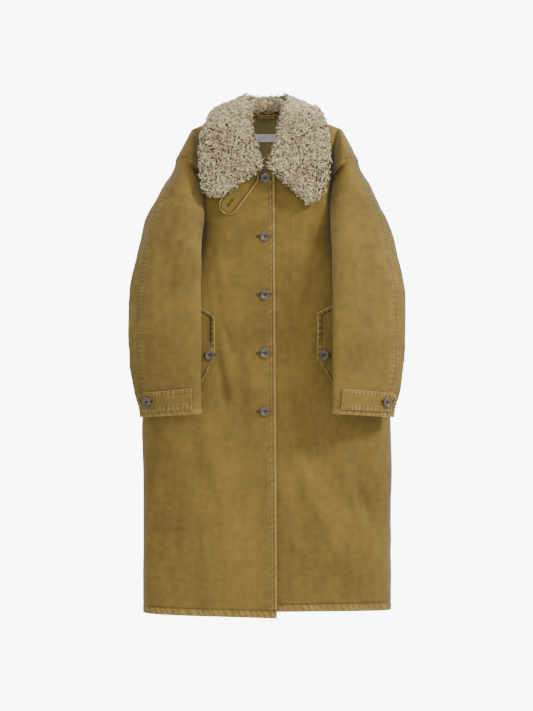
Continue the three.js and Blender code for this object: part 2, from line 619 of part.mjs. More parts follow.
// ---- Neck facing, label, hanger loop and throat latch -------------------------------------------
const facingInset = CANVAS + 1.5 * LAYER_GAP;
const facingSurfaceBack = (u, v) => {
  const bearing = lerp(150, 210, u);
  const z = lerp(-liningTopBelow + 12, topOf(() => bearing, BACK_NECK_Z), v ** 0.8);
  return bodyPoint(bearing, z);
};
const neckFacing = cloth(facingSurfaceBack, 8, 6, -facingInset, -facingInset - LINING, outOfBody);
const labelInset = facingInset + LINING + LAYER_GAP;
const backPatch = (lowX, highX, lowZ, highZ, steps, outer, inner) => {
  const surface = (u, v) => {
    const z = lerp(lowZ, highZ, v);
    const x = lerp(lowX, highX, u);
    return bodyPoint(180 - bearingOf(x, z), z);
  };
  return cloth(surface, steps, 2, outer, inner, outOfBody);
};
const labelHalf = 28;
const label = backPatch(-labelHalf, labelHalf, -59, -41, 4, -labelInset, -labelInset - 0.8);

const LOOP_HALF = 27;
const LOOP_HEIGHT = 9;
const LOOP_CLEAR = 7; // room behind the loop for a hook
const LOOP_TAPE = 1.6;
const loopFootY = 34.2;
const hangerLoop = (() => {
  const [feet, stand] = [LOOP_HALF, LOOP_HALF - 8];
  const outerY = -LOOP_CLEAR - LOOP_TAPE;
  const inner = [[-feet, 0], [-stand, -LOOP_CLEAR], [stand, -LOOP_CLEAR], [feet, 0]];
  const outer = [[feet, -LOOP_TAPE], [stand + 1, outerY], [-stand - 1, outerY], [-feet, -LOOP_TAPE]];
  const outline = [...inner, ...outer];
  const shape = new THREE.Shape(outline.map(([x, y]) => new THREE.Vector2(x, y)));
  return solidOf(new THREE.ExtrudeGeometry(shape, { depth: LOOP_HEIGHT, bevelEnabled: false })
    .translate(0, loopFootY, -LOOP_HEIGHT / 2));
})();

const latchY = -(CHEST_DEPTH + 0.6);
const latch = (() => {
  const reach = LATCH_LENGTH / 2 - LATCH_WIDTH / 2;
  const lean = -90 - LATCH_LEAN;
  const middle = [LATCH_PIVOT[0] + reach * Math.cos(rad(lean)), LATCH_PIVOT[1] + reach * Math.sin(rad(lean))];
  const body = prism(slotOutline(...middle, LATCH_LENGTH, LATCH_WIDTH, lean), latchY - CANVAS, latchY);
  const holeAt = [
    LATCH_PIVOT[0] + (LATCH_LENGTH - LATCH_WIDTH - 6) * Math.cos(rad(lean)),
    LATCH_PIVOT[1] + (LATCH_LENGTH - LATCH_WIDTH - 6) * Math.sin(rad(lean)),
  ];
  return body.subtract(prism(slotOutline(...holeAt, 22, 3, lean), latchY - 10, latchY + 10));
})();

// ---- The assembly -------------------------------------------------------------------------------
const finish = (color, roughness) => () =>
  new THREE.MeshStandardMaterial({ color, roughness, metalness: 0 });
const canvas = finish(0xa18448, 0.9);
const liningCloth = finish(0x9e8d5c, 0.85);
const pile = finish(0xb3a684, 0.95);
const horn = finish(0x8e7f68, 0.45);
const tape = finish(0xe9e6dc, 0.8);

const coat = new THREE.Group();
const add = (name, solid, material) => {
  const mesh = new THREE.Mesh(geometryOf(solid), material());
  mesh.name = name;
  coat.add(mesh);
};

add("right_front_panel", rightFrontPanel, canvas);
add("right_front_skirt", rightFrontSkirt, canvas);
add("left_front_panel", leftFrontPanel, canvas);
add("right_front_facing", rightFacing, canvas);
add("left_front_facing", leftFacing, canvas);
add("right_front_lining", rightLining.subtract(skirtCut), liningCloth);
add("right_skirt_lining", rightLining.intersect(skirtKeep), liningCloth);
add("left_front_lining", leftLining, liningCloth);
add("back_lining", backLining, liningCloth);
for (const [name, side] of [["right", -1], ["left", 1]]) {
  add(`${name}_back_panel`, backPanel(side), canvas);
  add(`${name}_shoulder_cap`, shoulderCap(side), canvas);
  add(`${name}_sleeve_front`, sleeveFront(side), canvas);
  add(`${name}_sleeve_back`, sleeveBack(side), canvas);
  add(`${name}_sleeve_lining`, sleeveLining(side), liningCloth);
  add(`${name}_cuff_facing`, cuffFacing(side), canvas);
  add(`${name}_cuff_tab`, cuffTab(side), canvas);
  add(`${name}_pocket_flap`, pocketFlap(side), canvas);
  add(`${name}_pocket_bag`, pocketBag(side), liningCloth);
  add(`${name}_under_collar`, trimWing(wing[name].under), canvas);
  add(`${name}_pile_collar`, trimWing(wing[name].pile), pile);
}
add("back_under_collar", trimBack(collarBack.under), canvas);
add("back_pile_collar", trimBack(collarBack.pile), pile);
add("neckband", neckband, canvas);
add("neck_facing", neckFacing, liningCloth);
add("size_label", label, tape);
add("hanger_loop", hangerLoop, canvas);
add("throat_latch", latch, canvas);

const addButton = (name, diameter, foot, point, normal) => {
  const mesh = new THREE.Mesh(buttonGeometry(diameter, foot), horn());
  mesh.name = name;
  placeButton(mesh, point, normal);
  coat.add(mesh);
};
const ahead = new THREE.Vector3(0, -1, 0);
for (const n of range(FRONT_BUTTONS)) {
  const point = frontSurfaceAt(FRONT_BUTTON_X, buttonZ(n)).addScaledVector(ahead, -underBy + GAP);
  addButton(`front_button_${n + 1}`, BUTTON_DIAMETER, underBy - GAP, point, ahead);
}
for (const [name, side] of [["right", -1], ["left", 1]]) {
  const normal = frontNormalAt(side * flapButton[0], flapButton[1]);
  const point = frontSurfaceAt(side * flapButton[0], flapButton[1]).addScaledVector(normal, GAP);
  addButton(`${name}_pocket_button`, BUTTON_DIAMETER, CANVAS, point, normal);
  const cuff = cuffButtonSpot(side);
  cuff.point.addScaledVector(cuff.normal, GAP);
  addButton(`${name}_cuff_button`, BUTTON_DIAMETER, TAB_GAP + CANVAS + GAP, cuff.point, cuff.normal);
}
const latchButtonPoint = frontSurfaceAt(-LATCH_PIVOT[0] + 26, LATCH_PIVOT[1] - 14)
  .addScaledVector(ahead, -GAP);
addButton("latch_button", 18, 0.2, latchButtonPoint, ahead);

coat.position.y = LOOP_CLEAR + LOOP_TAPE / 2 - loopFootY;
export default coat;
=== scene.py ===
"""A long canvas coat with a fleece collar, dressed over its frame of moving parts.

Shapes are worked out in millimetres from the middle of the hanger loop's foot line and turned into the
frame's metres when a piece is finished. "Right" and "left" are the wearer's.
"""
import logging
import math
import random
from collections.abc import Callable, Sequence
from dataclasses import dataclass, field
from enum import Enum

import bmesh
import bpy
import numpy as np
from mathutils import Matrix, Vector, noise
from mathutils.bvhtree import BVHTree


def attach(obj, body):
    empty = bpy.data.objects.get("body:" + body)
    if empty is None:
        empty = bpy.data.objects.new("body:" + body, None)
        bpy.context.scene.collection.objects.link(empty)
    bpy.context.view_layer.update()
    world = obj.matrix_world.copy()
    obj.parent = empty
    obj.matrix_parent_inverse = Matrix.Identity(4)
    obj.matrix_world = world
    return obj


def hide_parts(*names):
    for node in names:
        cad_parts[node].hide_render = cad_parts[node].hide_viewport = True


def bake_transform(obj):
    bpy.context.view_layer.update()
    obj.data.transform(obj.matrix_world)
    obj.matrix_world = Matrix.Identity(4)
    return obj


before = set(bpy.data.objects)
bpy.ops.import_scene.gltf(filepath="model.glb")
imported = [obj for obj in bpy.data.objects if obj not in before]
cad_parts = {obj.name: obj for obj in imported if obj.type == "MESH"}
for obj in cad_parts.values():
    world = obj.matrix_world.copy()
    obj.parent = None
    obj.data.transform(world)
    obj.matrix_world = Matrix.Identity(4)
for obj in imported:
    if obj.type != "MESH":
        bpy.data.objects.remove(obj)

MM = 0.001
SHIFT_Y = -26.4  # from the coat's own middle to the hanger loop, front to back
TO_FRAME = Matrix.Translation((0, SHIFT_Y * MM, 0)) @ Matrix.Scale(MM, 4)
Place = Callable[[float, float], Vector]
# A relief gives the cloth's height over its surface and its tone mark: worn paleness above 0, painted shade
# below 0.
Relief = Callable[[float, float, Vector], tuple[float, float]]
log = logging.getLogger("coat")


def lerp(a: float, b: float, t: float) -> float:
    """The number a share t of the way from a to b."""
    return a + (b - a) * t


def clamp(value: float, low: float = 0.0, high: float = 1.0) -> float:
    """The value, kept between two limits."""
    return max(low, min(high, value))


def smooth(low: float, high: float, value: float) -> float:
    """0 below low, 1 above high and an S-curve between them."""
    t = clamp((value - low) / (high - low))
    return t * t * (3 - 2 * t)


def bell(distance: float, width: float) -> float:
    """1 at no distance, falling away on both sides over the width."""
    return math.exp(-((distance / width) ** 2))


def ripple(along: float, pitch: float, seed: float) -> float:
    """An uneven wave from 0 to 1 along a seam, as gathered cloth makes it.

    Args:
        along: Where on the seam, in millimetres.
        pitch: The usual distance between two ridges.
        seed: Tells one seam's unevenness from another's.

    Returns:
        The height of the wave there.
    """
    drift = noise.noise(Vector((along / 70, seed, 0.3))) * 1.4
    size = 0.65 + 0.5 * noise.noise(Vector((along / 31, seed, 7.1)))
    return clamp((0.5 + 0.5 * math.sin(2 * math.pi * (along / pitch + drift))) * size)


def rolling(x: float, y: float, z: float, scale: float) -> float:
    """Soft random hills between about -1 and 1, of the given size in millimetres."""
    return noise.noise(Vector((x / scale, y / scale, z / scale)))


def spread(first: float, last: float, steps: int) -> list[float]:
    """Numbers from first to last, a step apart."""
    return [lerp(first, last, i / steps) for i in range(steps + 1)]


def resample(points: Sequence[Vector], pitch: float) -> list[Vector]:
    """Points at even distances along a line through other points.

    Args:
        points: The line's corners.
        pitch: The distance between two of the new points.

    Returns:
        The new points.
    """
    out, carry = [points[0]], 0.0
    for a, b in zip(points, points[1:]):
        span = (b - a).length
        at = pitch - carry
        while at <= span:
            out.append(a.lerp(b, at / span))
            at += pitch
        carry = (carry + span) % pitch
    return out


class Side(Enum):
    """The wearer's side, as the sign of x."""

    RIGHT = -1
    LEFT = 1

    @property
    def word(self) -> str:
        """The side's name, as pieces and bodies have it."""
        return self.name.lower()


class Stations:
    """A smooth function through (key, value) stations, level at its ends and never overshooting."""

    def __init__(self, stations: Sequence[tuple[float, float]]) -> None:
        """Works out the slope at each station."""
        self.keys = [k for k, _ in stations]
        self.values = [v for _, v in stations]
        self.slopes = [0.0] * len(stations)
        for i in range(1, len(stations) - 1):
            before = (self.values[i] - self.values[i - 1]) / (self.keys[i] - self.keys[i - 1])
            after = (self.values[i + 1] - self.values[i]) / (self.keys[i + 1] - self.keys[i])
            if before * after > 0:
                self.slopes[i] = 2 * before * after / (before + after)

    def __call__(self, key: float) -> float:
        """The value at a key.

        Args:
            key: Where to read the function.

        Returns:
            The value there.
        """
        at = clamp(key, self.keys[0], self.keys[-1])
        i = max(k for k in range(len(self.keys) - 1) if self.keys[k] <= at)
        span = self.keys[i + 1] - self.keys[i]
        t = (at - self.keys[i]) / span
        bend = t * (1 - t) * (1 - t) * span * self.slopes[i] + t * t * (t - 1) * span * self.slopes[i + 1]
        return lerp(self.values[i], self.values[i + 1], t * t * (3 - 2 * t)) + bend


class SpaceCurve:
    """A centripetal curve through points in space."""

    def __init__(self, points: Sequence[Sequence[float]]) -> None:
        """Keeps the points."""
        self.points = [Vector(p) for p in points]

    def __call__(self, share: float) -> Vector:
        """The point at a share from 0 to 1.

        Args:
            share: How far along the curve.

        Returns:
            The point there.
        """
        pts = self.points
        last = len(pts) - 1
        at = clamp(share) * last
        i = min(int(at), last - 1)
        t = at - i
        p1, p2 = pts[i], pts[i + 1]
        p0 = pts[i - 1] if i > 0 else p1 * 2 - p2
        p3 = pts[i + 2] if i + 2 <= last else p2 * 2 - p1
        d0, d1, d2 = ((b - a).length_squared ** 0.25 for a, b in ((p0, p1), (p1, p2), (p2, p3)))
        m1 = ((p1 - p0) / d0 - (p2 - p0) / (d0 + d1) + (p2 - p1) / d1) * d1
        m2 = ((p2 - p1) / d1 - (p3 - p1) / (d1 + d2) + (p3 - p2) / d2) * d1
        c2 = (p2 - p1) * 3 - m1 * 2 - m2
        c3 = (p1 - p2) * 2 + m1 + m2
        return p1 + m1 * t + c2 * t * t + c3 * t * t * t


@dataclass(frozen=True)
class BodyForm:
    """The surface of the coat's body."""

    hem_z: float = -1188
    tip_x: float = 181
    tip_z: float = -31
    slope: float = 0.395
    front_depth: float = 78
    back_depth: float = 72
    flare: float = 10
    shoulder_round: float = 170
    neck_half: float = 72
    front_neck_z: float = -137
    back_neck_z: float = -2
    widths: Stations = field(default_factory=lambda: Stations([
        (-1188, 298), (-640, 298), (-560, 292), (-480, lerp(159, 298, 0.74)), (-400, lerp(159, 298, 0.3)),
        (-300, 159), (-200, 158), (-103, 164), (-31, 174),
    ]))

    def crest(self, x: float) -> float:
        """The height of the shoulder line at x."""
        return self.tip_z + (self.tip_x - abs(x)) * self.slope

    def point(self, bearing: float, z: float) -> Vector:
        """A point of the body.

        Args:
            bearing: 0 at the centre front, 90 at the left side and 180 at the centre back.
            z: Its height.

        Returns:
            The point.
        """
        s, c = math.sin(math.radians(bearing)), math.cos(math.radians(bearing))
        reach = (s ** 4 + c ** 4) ** -0.25
        x = self.widths(z) * reach * s
        depth = (self.front_depth if c > 0 else self.back_depth) + self.flare * clamp((-300 - z) / 888)
        below = clamp((self.crest(x) - z) / self.shoulder_round)
        return Vector((x, -depth * reach * c * math.sqrt(max(0.0, 1 - (1 - below) ** 2)), z))

    def bearing_of(self, x: float, z: float) -> float:
        """The bearing at which the front of the body has this x.

        Args:
            x: How far to the left.
            z: The height.

        Returns:
            The bearing in degrees.
        """
        half = self.widths(z)
        ratio = clamp(x / half, -1, 1)
        # x = half * s / (s^4 + c^4)^(1/4), so tan^4 = r^4 / (1 - r^4)
        fourth = min(ratio ** 4, 0.999999)
        return math.copysign(math.degrees(math.atan((fourth / (1 - fourth)) ** 0.25)), x)

    def front(self, x: float, z: float) -> Vector:
        """The point of the front at x and z."""
        return self.point(self.bearing_of(x, z), z)

    def back(self, x: float, z: float) -> Vector:
        """The point of the back at x and z."""
        return self.point(180 - self.bearing_of(x, z), z)

    def top_of(self, bearing_at: Callable[[float], float], neck_z: float) -> float:
        """The height of a panel's upper edge, at the neckline or the shoulder.

        Args:
            bearing_at: The bearing of one line of the panel at each height.
            neck_z: The lowest point of the neckline.

        Returns:
            The height.
        """
        z = self.tip_z
        for _ in range(24):
            x = self.point(bearing_at(z), z).x
            dip = 1 - math.sqrt(1 - min(abs(x) / self.neck_half, 1) ** 2)
            neck = lerp(neck_z, self.crest(self.neck_half), dip)
            z = lerp(z, min(neck, self.crest(x) - 0.1), 0.6)
        return z

    def panel(self, bearing_at: Callable[[float, float], float], hem_at: Callable[[float], float],
              neck_z: float) -> Place:
        """The surface of one panel.

        Args:
            bearing_at: The bearing at a height and a share across.
            hem_at: The height of the hem at a share across.
            neck_z: The lowest point of the neckline.

        Returns:
            The surface, across from 0 to 1 and up from the hem at 0 to the upper edge at 1.
        """
        tops: dict[float, float] = {}

        def place(u: float, v: float) -> Vector:
            """The panel's point at a share across and a share up."""
            if u not in tops:
                tops[u] = self.top_of(lambda z: bearing_at(z, u), neck_z)
            z = lerp(hem_at(u), tops[u], v - 0.085 * math.sin(2 * math.pi * v))
            return self.point(bearing_at(z, u), z)

        return place

    @staticmethod
    def outward(p: Vector) -> Vector:
        """A rough direction out of the coat at a point of its body."""
        return Vector((p.x / 298, p.y / 78, 0.5 if p.z > -60 else 0))


@dataclass(frozen=True)
class SleeveForm:
    """The surface of a sleeve and of the dropped shoulder above it."""

    top_z: float = -104.3
    length: float = 622
    seam_z: float = -103
    seam_x: float = 221
    ring_inner_x: float = 165.5
    rows: tuple = (
        (0, 193.25, -5, 27, 67, 0), (0.12, 207, -26, 48, 62, 4), (0.24, 224, -55, 70, 55, 10),
        (0.38, 236, -86, 80, 47, 16), (0.52, 243, -106, 88, 41, 19), (0.64, 244, -114, 89.5, 38, 20),
        (0.76, 243, -117, 88, 36, 20), (0.9, 238, -117, 81, 33, 20), (1, 231, -116, 74, 31, 20),
    )

    def section(self, share: float) -> tuple[float, ...]:
        """The middle, half sizes and turn of the sleeve's section at a share down it."""
        return tuple(Stations([(r[0], r[k]) for r in self.rows])(share) for k in range(1, 6))

    def point(self, side: int, around: float, share: float) -> Vector:
        """A point of the sleeve.

        Args:
            side: The sign of x.
            around: Degrees round it: 0 outermost, 90 at the front and 180 at the body.
            share: How far down it, from 0 to 1.

        Returns:
            The point.
        """
        share = clamp(share)
        key = round(share, 6)
        if key not in SECTIONS:
            SECTIONS[key] = self.section(share)
        x, y, seen, deep, turn = SECTIONS[key]
        c, s = math.cos(math.radians(turn)), math.sin(math.radians(turn))
        long = math.sqrt(seen ** 2 - (deep * s) ** 2) / c
        along, ahead = long * math.cos(math.radians(around)), deep * math.sin(math.radians(around))
        out = x + along * c - ahead * s * 0.999
        rise = 11 * smooth(0.75, 1, share) * clamp(0.5 - (out - x) / 176)
        return Vector((side * out, y + along * s - ahead * c, self.top_z - self.length * share + rise))

    def cap(self, side: int, around: float, rise: float, body: BodyForm) -> Vector:
        """A point of the dropped shoulder.

        Args:
            side: The sign of x.
            around: Degrees round the shoulder seam.
            rise: How far up it, from the seam at 0 to the crest at 1.
            body: The coat's body.

        Returns:
            The point.
        """
        ring = self.point(1, around, 0)
        outwards = clamp((ring.x - self.ring_inner_x) / (self.seam_x - self.ring_inner_x))
        top_x = lerp(body.tip_x - 6, body.tip_x + 1, outwards)
        y = ring.y * math.sqrt(max(0.0, 1 - rise ** 2))
        return Vector((side * lerp(ring.x, top_x, rise), y, lerp(self.seam_z, body.crest(top_x) - 1, rise)))

    def outward(self, side: int) -> Callable[[Vector], Vector]:
        """The rough direction out of a sleeve at a point of it."""
        return lambda p: p - self.axis(side, p.z)

    def axis(self, side: int, z: float) -> Vector:
        """The middle of a sleeve at a height."""
        x, y, *_ = self.section(clamp((self.top_z - z) / self.length))
        return Vector((side * x, y, z))


SECTIONS: dict[float, tuple[float, ...]] = {}
BODY = BodyForm()
SLEEVE = SleeveForm()


@dataclass(frozen=True)
class CollarForm:
    """The lines that the collar folds over and ends on."""

    roll_right: tuple = ((-10, -99, -122), (-31, -91, -70), (-42, -70, -14), (-47, -34, 27))
    edge_right: tuple = (
        (-112, -89, -196), (-148, -90, -183), (-160, -89, -128), (-158, -84, -64), (-144, -62, -15),
        (-122, -24, 16),
    )
    roll_left: tuple = ((4, -99, -122), (23, -91, -70), (36, -70, -14), (46, -34, 27))
    edge_left: tuple = (
        (98, -89, -212), (128, -90, -194), (147, -89, -130), (146, -84, -66), (138, -62, -15), (122, -24, 16),
    )
    roll_back: tuple = ((-47, -31, 28), (-46, 12, 42), (-28, 44, 45), (0, 52, 45))
    edge_back: tuple = ((-122, -20, 16), (-118, 34, -2), (-72, 74, -34), (0, 84, -46))
    crown: float = 4

    @staticmethod
    def whole(half: Sequence[Sequence[float]]) -> list[tuple[float, ...]]:
        """A line and its mirror image as one."""
        return [tuple(p) for p in half] + [(-x, y, z) for x, y, z in reversed(half)][1:]

    def surface(self, roll: Sequence[Sequence[float]], edge: Sequence[Sequence[float]]) -> Place:
        """The fall of the collar between its roll and its edge.

        Args:
            roll: The line that it folds over.
            edge: The line that it ends on.

        Returns:
            The surface, along from 0 to 1 and out from the roll at 0 to the edge at 1.
        """
        roll_at, edge_at = SpaceCurve(roll), SpaceCurve(edge)

        def place(u: float, v: float) -> Vector:
            """The fall's point at a share along and a share out."""
            a, b = roll_at(u), edge_at(u)
            out = Vector((0, -1 if a.y < 0 else 1, 0.6)).normalized()
            return a.lerp(b, v) + out * (self.crown * 4 * v * (1 - v))

        return place

    @staticmethod
    def outward(p: Vector) -> Vector:
        """A rough direction out of the fall of the collar."""
        return Vector((p.x * 0.3, p.y + 6, 60))

    def band(self) -> Place:
        """The surface of the neckband, round from the left front to the right and up from 0 to 1."""
        inset = 4.3

        def foot_at(x: float, neck_z: float, front: bool) -> tuple[float, ...]:
            """A point of the neckline, moved in to the neckband."""
            dip = 1 - math.sqrt(1 - min(abs(x) / BODY.neck_half, 1) ** 2)
            z = lerp(neck_z, BODY.crest(BODY.neck_half), dip) + 1
            p = BODY.front(x, z) if front else BODY.back(x, z)
            flat = Vector((p.x, p.y, 0)).normalized() * inset
            return tuple(p - flat)

        def under(p: Sequence[float]) -> tuple[float, ...]:
            """A point of the roll, moved in to the top of the neckband."""
            x, y, z = p
            far = math.hypot(x, y + 10)
            step = 2.8 if y > 20 else 4.3
            return (x - x / far * step, y - (y + 10) / far * step, z - (0.8 if y > 20 else 2))

        foot = [foot_at(x, BODY.front_neck_z, True) for x in (16, 38, 56, 67, 71.5)]
        foot += [foot_at(x, BODY.back_neck_z, False) for x in (66, 52, 28, 0)]
        left = list(self.roll_left) + [(-x, y, z) for x, y, z in self.roll_back][1:]
        right = list(reversed(list(self.roll_right) + list(self.roll_back)[1:]))
        foot_line = SpaceCurve(self.whole(foot))
        top_line = SpaceCurve([under(p) for p in left + right[1:]])
        return lambda u, v: foot_line(u).lerp(top_line(u), v)


COLLAR = CollarForm()


class Wire:
    """A shader value that adds Math nodes when it is used in a sum."""

    def __init__(self, dye: "Dye", socket: bpy.types.NodeSocket) -> None:
        """Keeps the socket and the finish whose nodes it belongs to."""
        self.dye = dye
        self.socket = socket

    def _math(self, operation: str, *values: "Wire | float") -> "Wire":
        """A Math node on these values."""
        return self.dye.node("ShaderNodeMath", {"operation": operation}, dict(enumerate(values)))

    def __add__(self, other: "Wire | float") -> "Wire":
        """This value plus another."""
        return self._math("ADD", self, other)

    __radd__ = __add__

    def __sub__(self, other: "Wire | float") -> "Wire":
        """This value less another."""
        return self._math("SUBTRACT", self, other)

    def __rsub__(self, other: "Wire | float") -> "Wire":
        """Another value less this one."""
        return self._math("SUBTRACT", other, self)

    def __mul__(self, other: "Wire | float") -> "Wire":
        """This value times another."""
        return self._math("MULTIPLY", self, other)

    __rmul__ = __mul__

    def __pow__(self, power: float) -> "Wire":
        """This value to a power."""
        return self._math("POWER", self, power)

    def sine(self) -> "Wire":
        """The sine of this value."""
        return self._math("SINE", self)

    def held(self) -> "Wire":
        """This value, kept between 0 and 1."""
        return self.dye.node("ShaderNodeClamp", {}, {"Value": self})


@dataclass(frozen=True)
class Dye:
    """The base of every finish: a material and the one way to add nodes to it."""

    name: str

    def start(self) -> bpy.types.Material:
        """A new material with its nodes on."""
        material = bpy.data.materials.new(self.name)
        material.use_nodes = True
        NODE_TREES[self.name] = material.node_tree
        return material

    def node(self, kind: str, settings: dict, inputs: dict, output: int | str = 0) -> Wire:
        """Adds a node.

        Args:
            kind: The node's type.
            settings: Its own settings, or a ramp's stops, which are set first.
            inputs: Values or wires by socket name or number.
            output: The output to return.

        Returns:
            The output as a wire.
        """
        tree = NODE_TREES[self.name]
        made = tree.nodes.new(kind)
        for key, value in settings.items():
            if key == "stops":
                ramp = made.color_ramp
                for i, (position, colour) in enumerate(value):
                    stop = ramp.elements[i] if i < 2 else ramp.elements.new(position)
                    stop.position = position
                    stop.color = (*colour, 1)
            else:
                setattr(made, key, value)
        for key, value in inputs.items():
            if isinstance(value, Wire):
                tree.links.new(value.socket, made.inputs[key])
            else:
                made.inputs[key].default_value = value
        return Wire(self, made.outputs[output])

    def spot(self) -> Wire:
        """Object coordinates."""
        return self.node("ShaderNodeTexCoord", {}, {}, "Object")

    def noise(self, scale: float, detail: float = 4, stretch: Sequence[float] = (1, 1, 1)) -> Wire:
        """Noise on Object coordinates.

        Args:
            scale: Its fineness, per metre.
            detail: How many finer layers it has.
            stretch: How much finer it is along each axis.

        Returns:
            The noise, about 0.3 to 0.7.
        """
        where = self.node("ShaderNodeMapping", {}, {"Vector": self.spot(), "Scale": tuple(stretch)})
        return self.node("ShaderNodeTexNoise", {}, {"Vector": where, "Scale": scale, "Detail": detail})

    def mix(self, share: Wire | float, a: Wire | Sequence[float], b: Wire | Sequence[float]) -> Wire:
        """A colour between two others.

        Args:
            share: 0 for the first and 1 for the second.
            a: The first colour.
            b: The second colour.

        Returns:
            The colour.
        """
        a, b = (x if isinstance(x, Wire) else (*x, 1) for x in (a, b))
        return self.node("ShaderNodeMix", {"data_type": "RGBA"}, {0: share, 6: a, 7: b}, 2)

    def attribute(self, name: str) -> Wire:
        """A number that the mesh carries at each point."""
        return self.node("ShaderNodeAttribute", {"attribute_name": name}, {}, "Fac")

    def shade(self, material: bpy.types.Material, links: dict, values: dict) -> bpy.types.Material:
        """Sets the shader's sockets.

        Args:
            material: The material.
            links: Wires by socket name, for what varies.
            values: Plain values by socket name, for what doesn't.

        Returns:
            The material.
        """
        tree = material.node_tree
        shader = next(n for n in tree.nodes if n.type == "BSDF_PRINCIPLED")
        for key, value in values.items():
            shader.inputs[key].default_value = value
        for key, wire in links.items():
            tree.links.new(wire.socket, shader.inputs[key])
        return material


NODE_TREES: dict[str, bpy.types.NodeTree] = {}


@dataclass(frozen=True)
class WovenDye(Dye):
    """Woven cloth with uneven washing, slubs, puckers worn pale, painted shade in seam grooves and beside the
    sleeves, and a plain weave.
    """

    dark: tuple = (0.092, 0.058, 0.009)
    light: tuple = (0.19, 0.124, 0.022)
    worn: tuple = (0.33, 0.24, 0.08)
    # Painted shade: the colour that a tone mark below 0 darkens the cloth towards, in seam grooves and beside
    # the sleeves.
    painted_shade: tuple = (0.010, 0.006, 0.001)
    yarn: float = 0.0011
    weave: float = 0.35
    rough: float = 0.86

    def make(self) -> bpy.types.Material:
        """Builds the material."""
        material = self.start()
        washed = self.noise(7, 5)
        mottled = self.noise(55, 6)
        slub = self.noise(160, 3, (1, 1, 0.08)) + self.noise(160, 3, (0.08, 0.08, 1))
        uv = self.node("ShaderNodeTexCoord", {}, {}, "UV")
        split = {axis: self.node("ShaderNodeSeparateXYZ", {}, {0: uv}, axis) for axis in ("X", "Y")}
        turn = 2 * math.pi / self.yarn
        warp = (split["X"] * turn).sine()
        weft = (split["Y"] * turn).sine()
        cloth = warp * weft * 0.5 + 0.5
        wear_and_shade = self.attribute("wear_and_shade")
        tone = ((washed - 0.5) * 1.5 + (mottled - 0.5) * 1.0 + (slub - 1) * 0.22 + cloth * 0.12 + 0.44).held()
        base = self.mix(tone, self.dark, self.light)
        # A tone mark above 0 fades the cloth to the worn colour; below 0 it is painted shade, darkening the
        # cloth towards the shade colour.
        tone_mark = (wear_and_shade * (0.7 + (mottled - 0.5) * 1.2)).held()
        shaded = self.mix((wear_and_shade * -0.8).held(), base, self.painted_shade)
        colour = self.mix(tone_mark, shaded, self.worn)
        height = cloth * self.weave + mottled * 0.5 + slub * 0.25
        bump = self.node("ShaderNodeBump", {}, {"Strength": 0.5, "Distance": 0.0006, "Height": height},
                         "Normal")
        rough = self.rough + (mottled - 0.5) * 0.2
        return self.shade(
            material,
            {"Base Color": colour, "Roughness": rough, "Normal": bump},
            {"Specular IOR Level": 0.25, "Sheen Weight": 0.12, "Sheen Roughness": 0.5},
        )


@dataclass(frozen=True)
class FleeceDye(Dye):
    """Curly pile: dark at the root and pale at the tip."""

    root: tuple = (0.05, 0.033, 0.012)
    body: tuple = (0.27, 0.205, 0.09)
    tip: tuple = (0.66, 0.55, 0.32)

    def make(self) -> bpy.types.Material:
        """Builds the material."""
        material = self.start()
        along = self.attribute("along")
        tuft = self.noise(90, 3)
        patch = self.noise(14, 3)
        mid = self.mix((along * 1.7 + (tuft - 0.5) * 0.6).held(), self.root, self.body)
        faded = (along - 0.3) * 1.2 + (tuft - 0.5) * 1.6 + (patch - 0.5) * 0.9
        colour = self.mix(faded.held(), mid, self.tip)
        strand = self.noise(900, 2)
        bump = self.node("ShaderNodeBump", {}, {"Strength": 0.6, "Distance": 0.0005, "Height": strand},
                         "Normal")
        rough = 0.9 + (tuft - 0.5) * 0.15
        return self.shade(
            material,
            {"Base Color": colour, "Roughness": rough, "Normal": bump},
            {"Specular IOR Level": 0.15, "Sheen Weight": 0.35, "Sheen Roughness": 0.6},
        )


@dataclass(frozen=True)
class HornDye(Dye):
    """Streaky polished horn."""

    dark: tuple = (0.022, 0.015, 0.009)
    light: tuple = (0.115, 0.085, 0.055)

    def make(self) -> bpy.types.Material:
        """Builds the material."""
        material = self.start()
        streak = self.noise(70, 5, (1, 1, 5))
        fleck = self.noise(420, 3)
        tone = ((streak - 0.5) * 2.2 + (fleck - 0.5) * 0.8 + 0.6).held()
        colour = self.mix(tone, self.dark, self.light)
        bump = self.node("ShaderNodeBump", {}, {"Strength": 0.2, "Distance": 0.0003, "Height": fleck},
                         "Normal")
        rough = 0.36 + (streak - 0.5) * 0.3
        return self.shade(
            material,
            {"Base Color": colour, "Roughness": rough, "Normal": bump},
            {"Specular IOR Level": 0.5, "Coat Weight": 0.15, "Coat Roughness": 0.25},
        )


@dataclass(frozen=True)
class BackdropDye(Dye):
    """A pale, even backdrop, which may glow."""

    glow: float = 0.0
    tone: tuple = (0.94, 0.94, 0.93)

    def make(self) -> bpy.types.Material:
        """Builds the material."""
        material = self.start()
        grain = self.noise(3, 2)
        colour = self.mix(grain, self.tone, (0.96, 0.96, 0.95))
        return self.shade(material, {"Base Color": colour}, {
            "Roughness": 0.9, "Specular IOR Level": 0.1, "Emission Color": (1, 1, 1, 1),
            "Emission Strength": self.glow})


